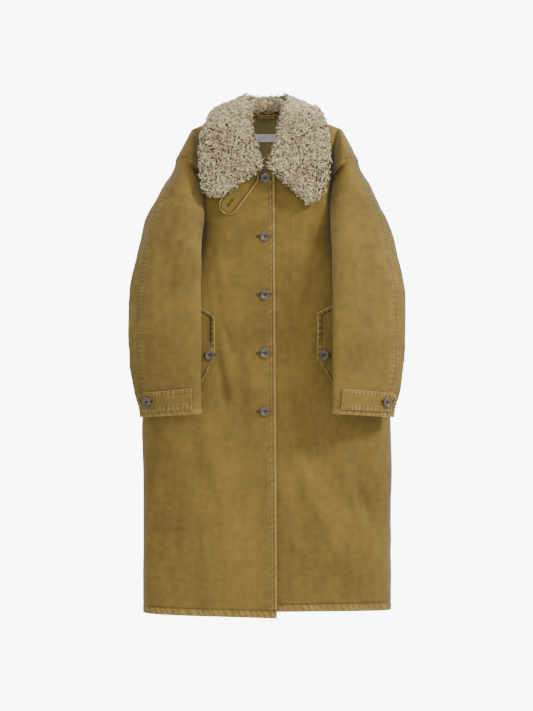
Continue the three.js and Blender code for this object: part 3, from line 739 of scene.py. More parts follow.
@dataclass
class Wardrobe:
    """The finishes, each made once."""

    canvas: bpy.types.Material = None
    lining: bpy.types.Material = None
    tape: bpy.types.Material = None
    thread: bpy.types.Material = None
    dark_thread: bpy.types.Material = None
    fleece: bpy.types.Material = None
    horn: bpy.types.Material = None
    floor: bpy.types.Material = None
    backdrop: bpy.types.Material = None

    def __post_init__(self) -> None:
        """Makes the finishes."""
        self.canvas = WovenDye("washed_canvas").make()
        self.lining = WovenDye("lining_cloth", (0.25, 0.195, 0.08), (0.36, 0.285, 0.125), (0.4, 0.32, 0.15),
                               (0.1, 0.075, 0.03), 0.0007, 0.2, 0.8).make()
        self.tape = WovenDye("label_tape", (0.86, 0.85, 0.82), (0.95, 0.94, 0.91), (0.97, 0.96, 0.94),
                             (0.5, 0.48, 0.42), 0.0005, 0.3, 0.7).make()
        # Real stitches coloured near-black as painted shade, the shadows of the puckers they sink into; the
        # buttonhole rings take the same colour.
        self.thread = WovenDye("topstitch_thread_painted_shade", (0.02, 0.012, 0.002), (0.045, 0.028, 0.006),
                               (0.06, 0.04, 0.01), (0.01, 0.007, 0.002), 0.0004, 0.5, 0.7).make()
        self.dark_thread = WovenDye("button_thread", (0.025, 0.017, 0.009), (0.055, 0.038, 0.02),
                                    (0.08, 0.055, 0.03), (0.01, 0.008, 0.004), 0.0004, 0.5, 0.8).make()
        self.fleece = FleeceDye("curly_fleece").make()
        self.horn = HornDye("horn").make()
        self.floor = BackdropDye("floor_paper", 0.0).make()
        self.backdrop = BackdropDye("backdrop", 8.0).make()


DYES = Wardrobe()


class Slot(Enum):
    """The record's material slots."""

    CANVAS = "canvas"
    LINING = "lining"
    PILE = "pile"
    BUTTON = "button"
    LABEL = "label"


class Stitch:
    """One stitch of topstitching thread, copied along the seams."""

    def __init__(self, length: float = 4.2, width: float = 1.5, height: float = 0.6) -> None:
        """Builds the stitch.

        Args:
            length: Along the seam.
            width: Across it.
            height: How far it stands up.
        """
        bm = bmesh.new()
        bmesh.ops.create_cube(bm, size=1)
        bmesh.ops.scale(bm, vec=(length, width, height), verts=bm.verts)
        top = [v for v in bm.verts if v.co.z > 0]
        bmesh.ops.scale(bm, vec=(0.7, 0.6, 1), verts=top)
        self.corners = np.array([v.co for v in bm.verts])
        self.mesh = bpy.data.meshes.new("stitch")
        bm.to_mesh(self.mesh)
        bm.free()

    def copy_into(self, bm: bmesh.types.BMesh, turn: Matrix, place: Vector, material: int) -> None:
        """Adds a copy of the stitch to a piece.

        Args:
            bm: The piece.
            turn: Its three axes as the columns of a matrix.
            place: Where it goes.
            material: The number of its material in the piece.
        """
        moved = self.corners @ np.array(turn).T + np.array(place)
        self.mesh.vertices.foreach_set("co", moved.ravel())
        for face in self.mesh.polygons:
            face.material_index = material
        bm.from_mesh(self.mesh)


STITCH = Stitch()


@dataclass
class Cloth:
    """One piece of cloth, from a flat grid to its finished object."""

    name: str
    place: Place
    columns: int
    rows: int
    outward: Callable[[Vector], Vector]
    relief: Relief | None = None
    thickness: float = 2.0
    closed: bool = False
    hole: Callable[[Vector], bool] | None = None
    bm: bmesh.types.BMesh = None
    tree: BVHTree = None
    area: float = 0.0

    def shape(self) -> "Cloth":
        """Places the grid on its surface, raises its relief, cuts its holes and gives it thickness."""
        bm = self.bm = bmesh.new()
        uv = bm.loops.layers.uv.new("UVMap")
        # Each point's tone mark: worn paleness above 0, painted shade below 0.
        wear_and_shade = bm.verts.layers.float.new("wear_and_shade")
        across, along = bm.verts.layers.float.new("across"), bm.verts.layers.float.new("upward")
        bmesh.ops.create_grid(bm, x_segments=self.columns, y_segments=self.rows, size=0.5, calc_uvs=True)
        for vert in bm.verts:
            vert[across], vert[along] = vert.co.x + 0.5, vert.co.y + 0.5
            vert.co = self.place(vert[across], vert[along])
        width, length = self.spans()
        for face in bm.faces:
            for loop in face.loops:
                loop[uv].uv = (loop[uv].uv.x * width * MM, loop[uv].uv.y * length * MM)
        if self.closed:
            bmesh.ops.remove_doubles(bm, verts=bm.verts, dist=0.01)
        bm.normal_update()
        if sum(f.normal.dot(self.outward(f.calc_center_median())) for f in bm.faces) < 0:
            bmesh.ops.reverse_faces(bm, faces=bm.faces)
            bm.normal_update()
        if self.relief:
            moves = []
            for vert in bm.verts:
                height, tone_mark = self.relief(vert[across], vert[along], vert.co)
                moves.append(vert.normal * height)
                vert[wear_and_shade] = tone_mark
            for vert, move in zip(bm.verts, moves):
                vert.co += move
        if self.hole:
            inside = [f for f in bm.faces if self.hole(f.calc_center_median())]
            bmesh.ops.delete(bm, geom=inside, context="FACES")
        for face in bm.faces:
            face.smooth = True
        self.area = sum(f.calc_area() for f in bm.faces) * MM * MM
        self.tree = BVHTree.FromBMesh(bm)
        bmesh.ops.solidify(bm, geom=bm.faces[:], thickness=self.thickness)
        return self

    def spans(self) -> tuple[float, float]:
        """The cloth's greatest width and length, in millimetres, along its own surface."""
        steps = [i / 24 for i in range(25)]
        def run(points: list[Vector]) -> float:
            """The length of a line."""
            return sum((b - a).length for a, b in zip(points, points[1:]))
        width = max(run([self.place(u, v) for u in steps]) for v in steps)
        length = max(run([self.place(u, v) for v in steps]) for u in steps)
        return width, length

    def sew(self, line: Sequence[Vector], pitch: float = 7.2, material: int = 1) -> "Cloth":
        """Runs a row of stitches along a line on the cloth.

        Args:
            line: The row's corners, near the cloth's outer face.
            pitch: The distance between two stitches.
            material: The number of the thread's material.

        Returns:
            The cloth.
        """
        points = resample(line, pitch)
        for a, b in zip(points, points[1:]):
            at, normal, _, _ = self.tree.find_nearest((a + b) / 2)
            if at is None:
                continue
            run = (b - a).normalized()
            across = normal.cross(run)
            if across.length < 0.3:
                continue
            across.normalize()
            turn = Matrix((run, across, normal)).transposed()
            STITCH.copy_into(self.bm, turn, at + normal * 0.1, material)
        return self

    def add(self, other: "Cloth") -> "Cloth":
        """Joins another made piece of cloth to this one, with the thread's material."""
        mesh = bpy.data.meshes.new("joined")
        for face in other.bm.faces:
            face.material_index = 1
        other.bm.to_mesh(mesh)
        self.bm.from_mesh(mesh)
        bpy.data.meshes.remove(mesh)
        other.bm.free()
        return self

    def done(self, materials: Sequence[bpy.types.Material]) -> bpy.types.Object:
        """Turns the cloth into an object in the frame's metres.

        Args:
            materials: The cloth's material, and then its thread's.

        Returns:
            The object.
        """
        return to_object(self.bm, self.name, materials)

    def settle(self, slot: "Slot", nodes: Sequence[str], held: str, rests_on: Sequence[str],
               body: str | None = None) -> bpy.types.Object:
        """Finishes the cloth with its slot's materials, hides the nodes that it stands for, logs its size and
        attaches it to the body that it moves with.

        Args:
            slot: The record's material slot.
            nodes: The frame's nodes that it stands for.
            held: How it is held. Not used.
            rests_on: What it lies on or hangs from. Not used.
            body: The body that carries it, or none to leave it unattached.

        Returns:
            The object.
        """
        obj = self.done(FINISHES[slot])
        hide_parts(*nodes)
        self.declare(obj)
        if body:
            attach(obj, body)
        return obj

    def declare(self, obj: bpy.types.Object) -> None:
        """Says what size the cloth was cut to.

        Args:
            obj: The finished object.
        """
        width, length = (round(s * MM, 3) for s in self.spans())
        area = min(self.area, width * length)
        declared = None if area < 0.31 * width * length else area
        total = sum(p.area for p in obj.data.polygons)
        log.info("%s: sheet %.3f x %.3f m, area %.4f, %d faces, all round %.4f", self.name, width, length,
                 self.area, len(obj.data.polygons), total)


def to_object(bm: bmesh.types.BMesh, name: str, materials: Sequence[bpy.types.Material]) -> bpy.types.Object:
    """Turns a mesh in millimetres into an object in the frame's metres.

    Args:
        bm: The mesh, which is freed.
        name: The object's name.
        materials: Its materials.

    Returns:
        The object.
    """
    bm.transform(TO_FRAME)
    mesh = bpy.data.meshes.new(name)
    bm.to_mesh(mesh)
    bm.free()
    for material in materials:
        mesh.materials.append(material)
    obj = bpy.data.objects.new(name, mesh)
    bpy.context.scene.collection.objects.link(obj)
    return obj


FINISHES = {
    Slot.CANVAS: (DYES.canvas, DYES.thread),
    Slot.LINING: (DYES.lining, DYES.thread),
    Slot.LABEL: (DYES.tape, DYES.tape),
}


def patch_normal(surface: Place, u: float, v: float, outward: Callable[[Vector], Vector]) -> Vector:
    """The unit normal of a surface, pointing outward.

    Args:
        surface: The surface.
        u: Where on it, across.
        v: Where on it, along.
        outward: The rough direction out at a point.

    Returns:
        The normal.
    """
    u, v = clamp(u, 0.002, 0.998), clamp(v, 0.002, 0.998)
    step = 0.001
    one = surface(u + step, v) - surface(u - step, v)
    two = surface(u, v + step) - surface(u, v - step)
    normal = one.cross(two).normalized()
    return normal if normal.dot(outward(surface(u, v))) > 0 else -normal


@dataclass
class Buttonhole:
    """A worked buttonhole: a ring of close stitches round a slit."""

    middle: Vector
    along: Vector
    normal: Vector
    half: float = 15.5
    wide: float = 2.6
    cord: float = 1.0

    def make(self) -> Cloth:
        """Builds the ring."""
        side = self.normal.cross(self.along).normalized()
        straight = self.half - self.wide

        def place(u: float, v: float) -> Vector:
            """A point of the ring: once round the slit, and once round the cord."""
            turn = 2 * math.pi * u
            out = self.along * math.cos(turn) + side * math.sin(turn)
            reach = math.copysign(straight * min(1, 3 * abs(math.cos(turn))), math.cos(turn))
            centre = self.middle + self.along * reach
            roll = 2 * math.pi * v
            radius = self.cord * (1 + 0.12 * math.sin(turn * 22))
            up = 0.5 + radius * math.sin(roll)
            return centre + out * (self.wide + radius * math.cos(roll)) + self.normal * up

        ring = Cloth("buttonhole", place, 88, 6, lambda p: self.normal, thickness=0.0)
        bm = ring.bm = bmesh.new()
        bmesh.ops.create_grid(bm, x_segments=88, y_segments=6, size=0.5)
        for vert in bm.verts:
            vert.co = place(vert.co.x + 0.5, vert.co.y + 0.5)
        bmesh.ops.remove_doubles(bm, verts=bm.verts, dist=0.01)
        bmesh.ops.recalc_face_normals(bm, faces=bm.faces)
        for face in bm.faces:
            face.smooth = True
        return ring


@dataclass
class Button:
    """A dished button with a raised rim, two slots and the thread through them."""

    name: str
    foot: Vector
    normal: Vector
    lift: float
    radius: float = 12.2
    thick: float = 3.6
    shank: float = 1.8

    def make(self) -> bpy.types.Object:
        """Builds the button and its thread."""
        r, back = self.radius, self.lift + 0.6
        front = back + self.thick
        profile = [
            (0, back), (r * 0.78, back), (r * 0.93, back + self.thick * 0.28), (r, back + self.thick * 0.55),
            (r * 0.965, front - 0.35), (r * 0.9, front), (r * 0.8, front - 0.15), (r * 0.73, front - 0.8),
            (r * 0.69, front - 1.15), (r * 0.64, front - 0.95), (r * 0.5, front - 0.75),
            (r * 0.43, front - 0.95), (r * 0.37, front - 1.75), (0, front - 1.9),
        ]
        bm = bmesh.new()
        chain = [bm.verts.new((x, 0, z)) for x, z in profile]
        edges = [bm.edges.new(pair) for pair in zip(chain, chain[1:])]
        bmesh.ops.spin(bm, geom=chain + edges, cent=(0, 0, 0), axis=(0, 0, 1), angle=2 * math.pi, steps=40,
                       use_merge=True)
        bmesh.ops.remove_doubles(bm, verts=bm.verts, dist=0.01)
        bmesh.ops.recalc_face_normals(bm, faces=bm.faces)
        for face in bm.faces:
            face.smooth = True
        self.threads(bm, front - 1.75)
        tall = back + 0.4
        stem = bmesh.ops.create_cone(bm, cap_ends=True, segments=10, radius1=self.shank,
                                     radius2=self.shank * 0.8, depth=tall,
                                     matrix=Matrix.Translation((0, 0, tall / 2)))
        for face in {f for v in stem["verts"] for f in v.link_faces}:
            face.material_index = 1
        spin = Vector((0, 0, 1)).rotation_difference(self.normal).to_matrix().to_4x4()
        bm.transform(Matrix.Translation(self.foot) @ spin)
        return to_object(bm, self.name, (DYES.horn, DYES.dark_thread))

    def settle(self, node: str, body: str) -> None:
        """Makes the button in place of a node, on the body that carries it."""
        obj = self.make()
        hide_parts(node)
        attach(obj, body)

    def threads(self, bm: bmesh.types.BMesh, floor: float) -> None:
        """Lays the thread across the button's sunken middle.

        Args:
            bm: The button.
            floor: The height of the middle.
        """
        r = self.radius
        for offset in (-0.16, 0.0, 0.16):
            made = bmesh.ops.create_cube(bm, size=1)["verts"]
            bmesh.ops.scale(bm, vec=(r * 0.5, r * 0.12, 1.0), verts=made)
            ends = [v for v in made if v.co.z > 0]
            bmesh.ops.scale(bm, vec=(0.75, 0.7, 1), verts=ends)
            bmesh.ops.translate(bm, vec=(0, offset * r, floor + 0.45), verts=made)
            edges = list({e for v in made for e in v.link_edges})
            bmesh.ops.bevel(bm, geom=edges, offset=0.3, segments=2, affect="EDGES", profile=0.5, material=-1)
        for vert in bm.verts:
            if vert.co.z > floor + 0.2 and math.hypot(vert.co.x, vert.co.y) < r * 0.34:
                for face in vert.link_faces:
                    face.material_index = 1
        for sign in (-1, 1):
            spot = Matrix.Translation((sign * r * 0.27, 0, floor + 0.1))
            made = bmesh.ops.create_cone(bm, cap_ends=True, segments=12, radius1=r * 0.1, radius2=r * 0.1,
                                         depth=0.3, matrix=spot)["verts"]
            bmesh.ops.scale(bm, vec=(0.6, 2.4, 1), verts=made,
                            space=Matrix.Translation((-sign * r * 0.27, 0, 0)))
            for face in {f for v in made for f in v.link_faces}:
                face.material_index = 1


class LockShapes:
    """A few curled locks of pile, copied over the collar."""

    STEPS = 6
    SIDES = 4

    def __init__(self, count: int = 7) -> None:
        """Builds the locks.

        Args:
            count: How many different ones there are.
        """
        self.meshes: list[bpy.types.Mesh] = []
        self.corners: list[np.ndarray] = []
        draw = random.Random(11)
        for _ in range(count):
            mesh = self.one(draw.uniform(0.3, 0.62), draw.uniform(12, 18), draw.choice((-1, 1)))
            self.meshes.append(mesh)
            self.corners.append(np.array([v.co for v in mesh.vertices]))

    def one(self, curl: float, length: float, hand: int) -> bpy.types.Mesh:
        """Builds one lock, which stands up from the origin and curls over.

        Args:
            curl: How tightly it curls, in radians a step.
            length: Its length along the curl.
            hand: Which way it twists.

        Returns:
            Its mesh.
        """
        bm = bmesh.new()
        along = bm.verts.layers.float.new("along")
        made = bmesh.ops.create_circle(bm, cap_ends=True, segments=self.SIDES, radius=1.55)["verts"]
        ring = [e for e in bm.edges]
        at, lean = Vector((0, 0, 0)), 0.0
        for step in range(1, self.STEPS + 1):
            grown = bmesh.ops.extrude_edge_only(bm, edges=ring)["geom"]
            verts = [g for g in grown if isinstance(g, bmesh.types.BMVert)]
            ring = [g for g in grown if isinstance(g, bmesh.types.BMEdge)
                    and all(v in verts for v in g.verts)]
            lean += curl
            twist = Matrix.Rotation(hand * 0.35 * step, 3, "Z")
            move = twist @ Vector((math.sin(lean), 0, math.cos(lean))) * (length / self.STEPS)
            bmesh.ops.translate(bm, vec=move, verts=verts)
            at = at + move
            shrink = (1.15, 1.0, 0.9, 0.82, 0.7, 0.45)[step - 1]
            back = Matrix.Translation(-at)
            bmesh.ops.scale(bm, vec=(shrink,) * 3, verts=verts, space=back)
            turn = Matrix.Rotation(curl, 3, twist @ Vector((0, 1, 0)))
            bmesh.ops.rotate(bm, cent=at, matrix=turn, verts=verts)
            for vert in verts:
                vert[along] = step / self.STEPS
        bmesh.ops.holes_fill(bm, edges=ring, sides=self.SIDES)
        bmesh.ops.recalc_face_normals(bm, faces=bm.faces)
        for face in bm.faces:
            face.smooth = True
        mesh = bpy.data.meshes.new("lock")
        bm.to_mesh(mesh)
        bm.free()
        return mesh

    def copy_into(self, bm: bmesh.types.BMesh, which: int, turn: Matrix, place: Vector) -> None:
        """Adds a copy of a lock to the pile.

        Args:
            bm: The pile.
            which: The number of the lock.
            turn: Its axes, with its size, as the columns of a matrix.
            place: Where its root goes.
        """
        moved = self.corners[which] @ np.array(turn).T + np.array(place)
        self.meshes[which].vertices.foreach_set("co", moved.ravel())
        bm.from_mesh(self.meshes[which])


LOCKS = LockShapes()


@dataclass
class Fleece:
    """Curly pile on a backing: a lumpy mat with locks standing out of it."""

    name: str
    surface: Place
    outward: Callable[[Vector], Vector]
    locks: int
    seed: int
    mat: float = 8.0
    start: float = 0.4
    columns: int = 60
    rows: int = 34
    keep: Callable[[Vector], bool] = lambda p: True
    size: float = 1.0
    bm: bmesh.types.BMesh = None

    def height(self, p: Vector) -> float:
        """The lumpy top of the mat over a point of the backing."""
        return self.mat + 1.6 * rolling(p.x, p.y, p.z, 9) + 1.2 * rolling(p.y, p.z, p.x, 21)

    def make(self) -> bpy.types.Object:
        """Builds the mat and its locks."""
        bm = self.bm = bmesh.new()
        bm.loops.layers.uv.new("UVMap")
        along = bm.verts.layers.float.new("along")
        bmesh.ops.create_grid(bm, x_segments=self.columns, y_segments=self.rows, size=0.5, calc_uvs=True)
        placed = []
        for vert in bm.verts:
            u, v = vert.co.x + 0.5, vert.co.y + 0.5
            base = self.surface(u, v)
            normal = patch_normal(self.surface, u, v, self.outward)
            rim = smooth(0, 0.1, min(u, 1 - u)) * smooth(0, 0.12, min(v + 0.06, 1 - v))
            placed.append((base, normal, rim))
            vert.co = base
        bmesh.ops.recalc_face_normals(bm, faces=bm.faces)
        bm.faces.ensure_lookup_table()
        for vert, (base, normal, rim) in zip(bm.verts, placed):
            vert.co = base + normal * lerp(3.5, self.height(base), rim)
            vert[along] = 0.12
        gone = [f for f in bm.faces if not self.keep(f.calc_center_median())]
        bmesh.ops.delete(bm, geom=gone, context="FACES")
        bm.normal_update()
        if sum(f.normal.dot(self.outward(f.calc_center_median())) for f in bm.faces) < 0:
            bmesh.ops.reverse_faces(bm, faces=bm.faces)
            bm.normal_update()
        bmesh.ops.solidify(bm, geom=bm.faces[:], thickness=3.0)
        for face in bm.faces:
            face.smooth = True
        self.grow(bm)
        obj = to_object(bm, self.name, (DYES.fleece,))
        log.info("%s: %d faces", self.name, len(obj.data.polygons))
        return obj

    def grow(self, bm: bmesh.types.BMesh) -> None:
        """Sets the locks in the mat, leaning over the edges at the rim.

        Args:
            bm: The mat.
        """
        draw = random.Random(self.seed)
        grown = 0
        while grown < self.locks:
            u, v = draw.uniform(0, 1), draw.uniform(0, 1)
            which, spin = draw.randrange(len(LOCKS.meshes)), draw.uniform(0, 2 * math.pi)
            tilt, size = draw.uniform(0, 0.75), draw.uniform(0.75, 1.25) * self.size
            base = self.surface(u, v)
            if not self.keep(base):
                continue
            grown += 1
            normal = patch_normal(self.surface, u, v, self.outward)
            side = (self.surface(min(u + 0.01, 1), v) - self.surface(max(u - 0.01, 0), v)).normalized()
            down = side.cross(normal).normalized()
            if down.dot(self.surface(u, min(v + 0.01, 1)) - self.surface(u, max(v - 0.01, 0))) < 0:
                down = -down
            rim_v, rim_low, rim_high = smooth(0.86, 1, v), smooth(0.1, 0, u), smooth(0.9, 1, u)
            out = down * (1.4 * rim_v + 0.35) - side * 1.3 * rim_low + side * 1.3 * rim_high * 0.4
            sway = side * math.cos(spin) + down * math.sin(spin)
            comb = noise.noise_vector(base / 11) * 0.8
            axis = (normal + out * 0.75 + sway * math.tan(tilt) * 0.35 + comb).normalized()
            if axis.dot(normal) < 0.2:
                axis = (axis + normal * (0.2 - axis.dot(normal))).normalized()
            rim = smooth(0, 0.1, min(u, 1 - u)) * smooth(0, 0.12, min(v + 0.06, 1 - v))
            root = base + normal * (lerp(3.5, self.height(base), rim) - 1.6)
            spun = Matrix.Rotation(spin, 3, "Z")
            turn = Vector((0, 0, 1)).rotation_difference(axis).to_matrix() @ spun * size
            LOCKS.copy_into(bm, which, turn, root)


@dataclass
class Fronts:
    """The two front panels, with their facings, linings, pockets and buttons."""

    over_edge: float = 17
    edge_slant: float = 7
    under_edge: float = -25
    facing: float = 70
    first_button: float = -151
    pitch: float = 140
    button_x: float = -4
    buttons: int = 5
    hole_half: float = 13.5
    hole_wide: float = 2.6
    under_by: float = 5
    side_gap: float = 0.03
    flap_button: tuple = (137, -576)
    fold_pivot: tuple = (-0.024, -0.1109, -0.151)
    fold_away: tuple = (0.9793, 0, -0.2021)
    fold_near: float = 0.030
    fold_far: float = 0.095
    crowd: float = 1.3  # how much closer the grid's lines are at the front edge

    def edge(self, z: float) -> float:
        """The x of the right front's edge at a height."""
        return self.over_edge + self.edge_slant * clamp(z / BODY.hem_z)

    def hem(self, x: float) -> float:
        """The height of the right front's hem at x."""
        share = clamp((BODY.bearing_of(x, -1188) - BODY.bearing_of(24, -1188)) / (-90 - 5)) ** (1 / 0.9)
        return BODY.hem_z - 20 * (1 - share) ** 0.8

    def calm(self, x: float, z: float) -> float:
        """How much of the soft folding is left: none along the buttons and under the throat latch.

        Args:
            x: How far to the left.
            z: The height.

        Returns:
            A share from 0 to 1.
        """
        band = smooth(16, 62, abs(x - self.button_x))
        tongue = smooth(60, 150, math.hypot(x + 80, z + 190))
        button = smooth(20, 60, math.hypot(x - 70, z + 164))
        latch = tongue if x < 0 else button
        top = smooth(-60, -150, z)
        return band * latch * top

    def folds(self, side: int, x: float, z: float) -> float:
        """The soft hills and hollows of a front.

        Args:
            side: The sign of x.
            x: How far to the left.
            z: The height.

        Returns:
            The height of the cloth over its plain surface.
        """
        hills = 5.0 * noise.noise(Vector((x / 95, z / 330, side * 3.7)))
        hills += 3.0 * noise.noise(Vector((x / 42, z / 130, side * 9.2)))
        hills += 0.9 * noise.noise(Vector((x / 17, z / 40, side * 5.5)))
        lines = FOLD_LINES[side]
        for (x0, z0), (x1, z1), height, width in lines:
            run = Vector((x1 - x0, z1 - z0))
            rel = Vector((x - x0, z - z0))
            t = rel.dot(run) / run.length_squared
            off = (rel - run * t).length
            hills += height * bell(off, width) * smooth(-0.1, 0.3, t) * smooth(1.15, 0.75, t)
        at_flap = 1 - 0.6 * smooth(105, 130, abs(x)) * smooth(-410, -450, z) * smooth(-740, -690, z)
        return hills * self.calm(x, z) * at_flap

    def relief(self, side: int) -> Relief:
        """The relief of a front panel.

        Args:
            side: The sign of x.

        Returns:
            The height, and the tone mark of worn paleness above 0 and painted shade below 0, at a share
            across and up, at a point.
        """

        def at(u: float, v: float, p: Vector) -> tuple[float, float]:
            """The height, and the tone mark there: worn paleness, with painted shade in stitching grooves and
            beside the sleeves.
            """
            height, wear_and_shade = self.folds(side, p.x, p.z), 0.0
            low = self.hem(p.x) if side < 0 else BODY.hem_z - 5 * (1 - clamp(p.x / 298))
            up = p.z - low
            pucker = ripple(p.x + up * 0.5, 15, 3.3 + side) * bell(up - 8, 9)
            height += 2.2 * pucker - 1.3 * bell(up - 18, 2.5) + 0.8 * bell(up, 3)
            # Worn paleness on the hem's puckers and fold; painted shade in the groove of its stitching.
            wear_and_shade += 1.1 * pucker + 0.4 * bell(up, 3) - 0.3 * bell(up - 18, 2.5)
            if side < 0:
                inward = self.edge(p.z) - p.x
                pucker = ripple(p.z + inward * 0.7, 15, 1.1) * bell(inward - 10, 7)
                height += 0.9 * pucker - 0.9 * bell(inward - 6, 1.7) - 0.7 * bell(inward - 14, 1.7)
                lift = 4.0 * smooth(-690, -860, p.z) * bell(inward, 30)
                lift += 2.5 * smooth(-165, -140, p.z) * bell(inward, 16)
                height += lift
                # Worn paleness on the front edge and its puckers; painted shade in the groove of the inner
                # stitching.
                wear_and_shade += 0.5 * pucker + 0.85 * bell(inward - 1.2, 2.6) - 0.35 * bell(inward - 6.4, 1.6)
            else:
                height -= self.under_by * clamp((62 - p.x) / 34)
            # Painted shade on the front's sides, where the sleeves hang close in front of them.
            sleeve_shade_span = smooth(-110, -150, p.z) * smooth(-720, -640, p.z)
            wear_and_shade -= 0.75 * bell(abs(p.x) - BODY.widths(p.z), 9) * sleeve_shade_span
            return height, clamp(wear_and_shade, -1)

        return at

    def slot_hole(self, side: int) -> Callable[[Vector], bool]:
        """Where the pocket's slot is open in a front."""
        return lambda p: abs(side * p.x - 175) < 4.2 and abs(p.z + 561) < 78

    def buttonholes(self) -> list[float]:
        """The heights of the front buttons."""
        return [self.first_button - n * self.pitch for n in range(self.buttons)]

    def in_buttonhole(self, p: Vector) -> bool:
        """Whether a point of the right front lies inside a buttonhole."""
        across = abs(p.x - self.button_x) < self.hole_half
        return across and any(abs(p.z - z) < self.hole_wide for z in self.buttonholes())

    def right_panel(self) -> Place:
        """The surface of the right front."""
        return BODY.panel(
            lambda z, u: lerp(BODY.bearing_of(self.edge(z), z), -90 + self.side_gap, u ** self.crowd),
            lambda u: BODY.hem_z - 20 * (1 - u ** (self.crowd / 0.9)) ** 0.8,
            BODY.front_neck_z,
        )

    def left_panel(self) -> Place:
        """The surface of the left front."""
        return BODY.panel(
            lambda z, u: lerp(BODY.bearing_of(self.under_edge, z), 90 - self.side_gap, u ** 0.9),
            lambda u: BODY.hem_z - 5 * (1 - u),
            BODY.front_neck_z,
        )

    def opened(self, obj: bpy.types.Object) -> None:
        """Bakes the placement of a piece of the right front into its mesh."""
        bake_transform(obj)

    def build(self) -> None:
        """Builds every piece of the fronts."""
        self.make_right()
        self.make_left()
        self.make_facings()
        self.make_linings()
        for side in Side:
            self.make_pocket(side)
        self.make_buttons()

    def make_right(self) -> None:
        """Builds the right front, which is cloth in one piece across its fold line."""

        def hole(p: Vector) -> bool:
            """Whether a face is inside a buttonhole, the pocket's slot or the armhole."""
            return self.in_buttonhole(p) or self.slot_hole(-1)(p) or in_armhole(p)

        cloth = Cloth("right_front_cloth", self.right_panel(), 108, 300, BODY.outward, self.relief(-1),
                      hole=hole).shape()
        heights = spread(-140, -1200, 60)
        for inward in (6.2, 14.2):
            cloth.sew([BODY.front(self.edge(z) - inward, z) for z in heights])
        across = spread(self.edge(-1188) - 3, -290, 60)
        cloth.sew([BODY.front(x, self.hem(x) + 18) for x in across])
        for z in self.buttonholes():
            middle = BODY.front(self.button_x - 4, z)
            cloth.add(Buttonhole(middle, Vector((1, 0, 0)), Vector((0, -1, 0)), half=17).make())
        obj = cloth.settle(Slot.CANVAS, ["right_front_panel", "right_front_skirt"],
                           "hung", ["left_front_cloth"])
        self.opened(obj)

    def make_left(self) -> None:
        """Builds the left front."""
        def hole(p: Vector) -> bool:
            """Whether a face is inside the pocket's slot or the armhole."""
            return self.slot_hole(1)(p) or in_armhole(p)

        cloth = Cloth("left_front_cloth", self.left_panel(), 108, 300, BODY.outward, self.relief(1),
                      hole=hole).shape()
        across = spread(-20, 290, 60)
        cloth.sew([BODY.front(x, BODY.hem_z - 5 * (1 - clamp(x / 298)) + 18) for x in across])
        cloth.settle(Slot.CANVAS, ["left_front_panel"], "hung", [], "coat")

    def make_facings(self) -> None:
        """Builds the two facings behind the front edges."""
        def relief(side: int, down: float) -> Relief:
            """The front's own folds, moved in behind the shell."""
            return lambda u, v, p: (self.folds(side, p.x, p.z) - down, 0.3 * bell(u, 0.05))

        def strip(start: Callable[[float], float], width: float) -> Place:
            """A strip of the front from one x to another."""
            return BODY.panel(lambda z, u: BODY.bearing_of(start(z) + width * u, z), lambda u: BODY.hem_z + 6,
                              BODY.front_neck_z)

        over_strip = strip(lambda z: self.edge(z) - 1.5, -self.facing)
        over = Cloth("right_facing_cloth", over_strip, 26, 300, BODY.outward,
                     relief(-1, 2.8), 1.0, hole=self.in_buttonhole).shape()
        obj = over.settle(Slot.CANVAS, ["right_front_facing"], "hung", ["right_front_cloth"])
        self.opened(obj)
        under_strip = strip(lambda z: self.under_edge + 1.5, self.facing)
        under = Cloth("left_facing_cloth", under_strip, 26, 150, BODY.outward,
                      lambda u, v, p: (self.relief(1)(u, v, p)[0] - 3.0, 0.0), 1.0).shape()
        under.settle(Slot.CANVAS, ["left_front_facing"], "hung", ["left_front_cloth"], "coat")

    def make_linings(self) -> None:
        """Builds the linings of the two fronts."""
        for side, facing in ((Side.RIGHT, -48), (Side.LEFT, 48)):
            low, high = BODY.hem_z + 30, -150

            def place(u: float, v: float) -> Vector:
                """A point of the lining's surface."""
                z = lerp(low, high, v)
                return BODY.point(lerp(BODY.bearing_of(facing, z), side.value * 89.9, u), z)

            name = f"{side.word}_lining_cloth"
            cloth = Cloth(name, place, 56, 160, BODY.outward, lining_relief, 1.0, hole=in_armhole).shape()
            cloth.sew([place(i / 40, 0.004) for i in range(41)], 5)
            if side is Side.RIGHT:
                nodes = ["right_front_lining", "right_skirt_lining"]
                self.opened(cloth.settle(Slot.LINING, nodes, "hung", ["right_front_cloth"]))
            else:
                cloth.settle(Slot.LINING, ["left_front_lining"], "hung", ["left_front_cloth"], "coat")

    def flap_at(self, side: int, u: float, v: float) -> tuple[float, float]:
        """The x and z of a pocket flap, from its free edge at u 0 to its root at u 1, and up."""
        free = 125 if side < 0 else 121
        x = lerp(free, lerp(190, 188, v), u)
        drop = (16 if side < 0 else 4) * (1 - u) ** 3
        z = lerp(lerp(-583, -698, u), lerp(-471, -452 if side < 0 else -444, u) - drop, v)
        return side * x, z

    def make_pocket(self, side: Side) -> None:
        """Builds a pocket's flap and its pouch.

        Args:
            side: The wearer's side.
        """
        sign = side.value
        peel = 7.0 if side is Side.RIGHT else 2.5

        def place(u: float, v: float) -> Vector:
            """A point of the flap's surface."""
            return BODY.front(*self.flap_at(sign, u, v))

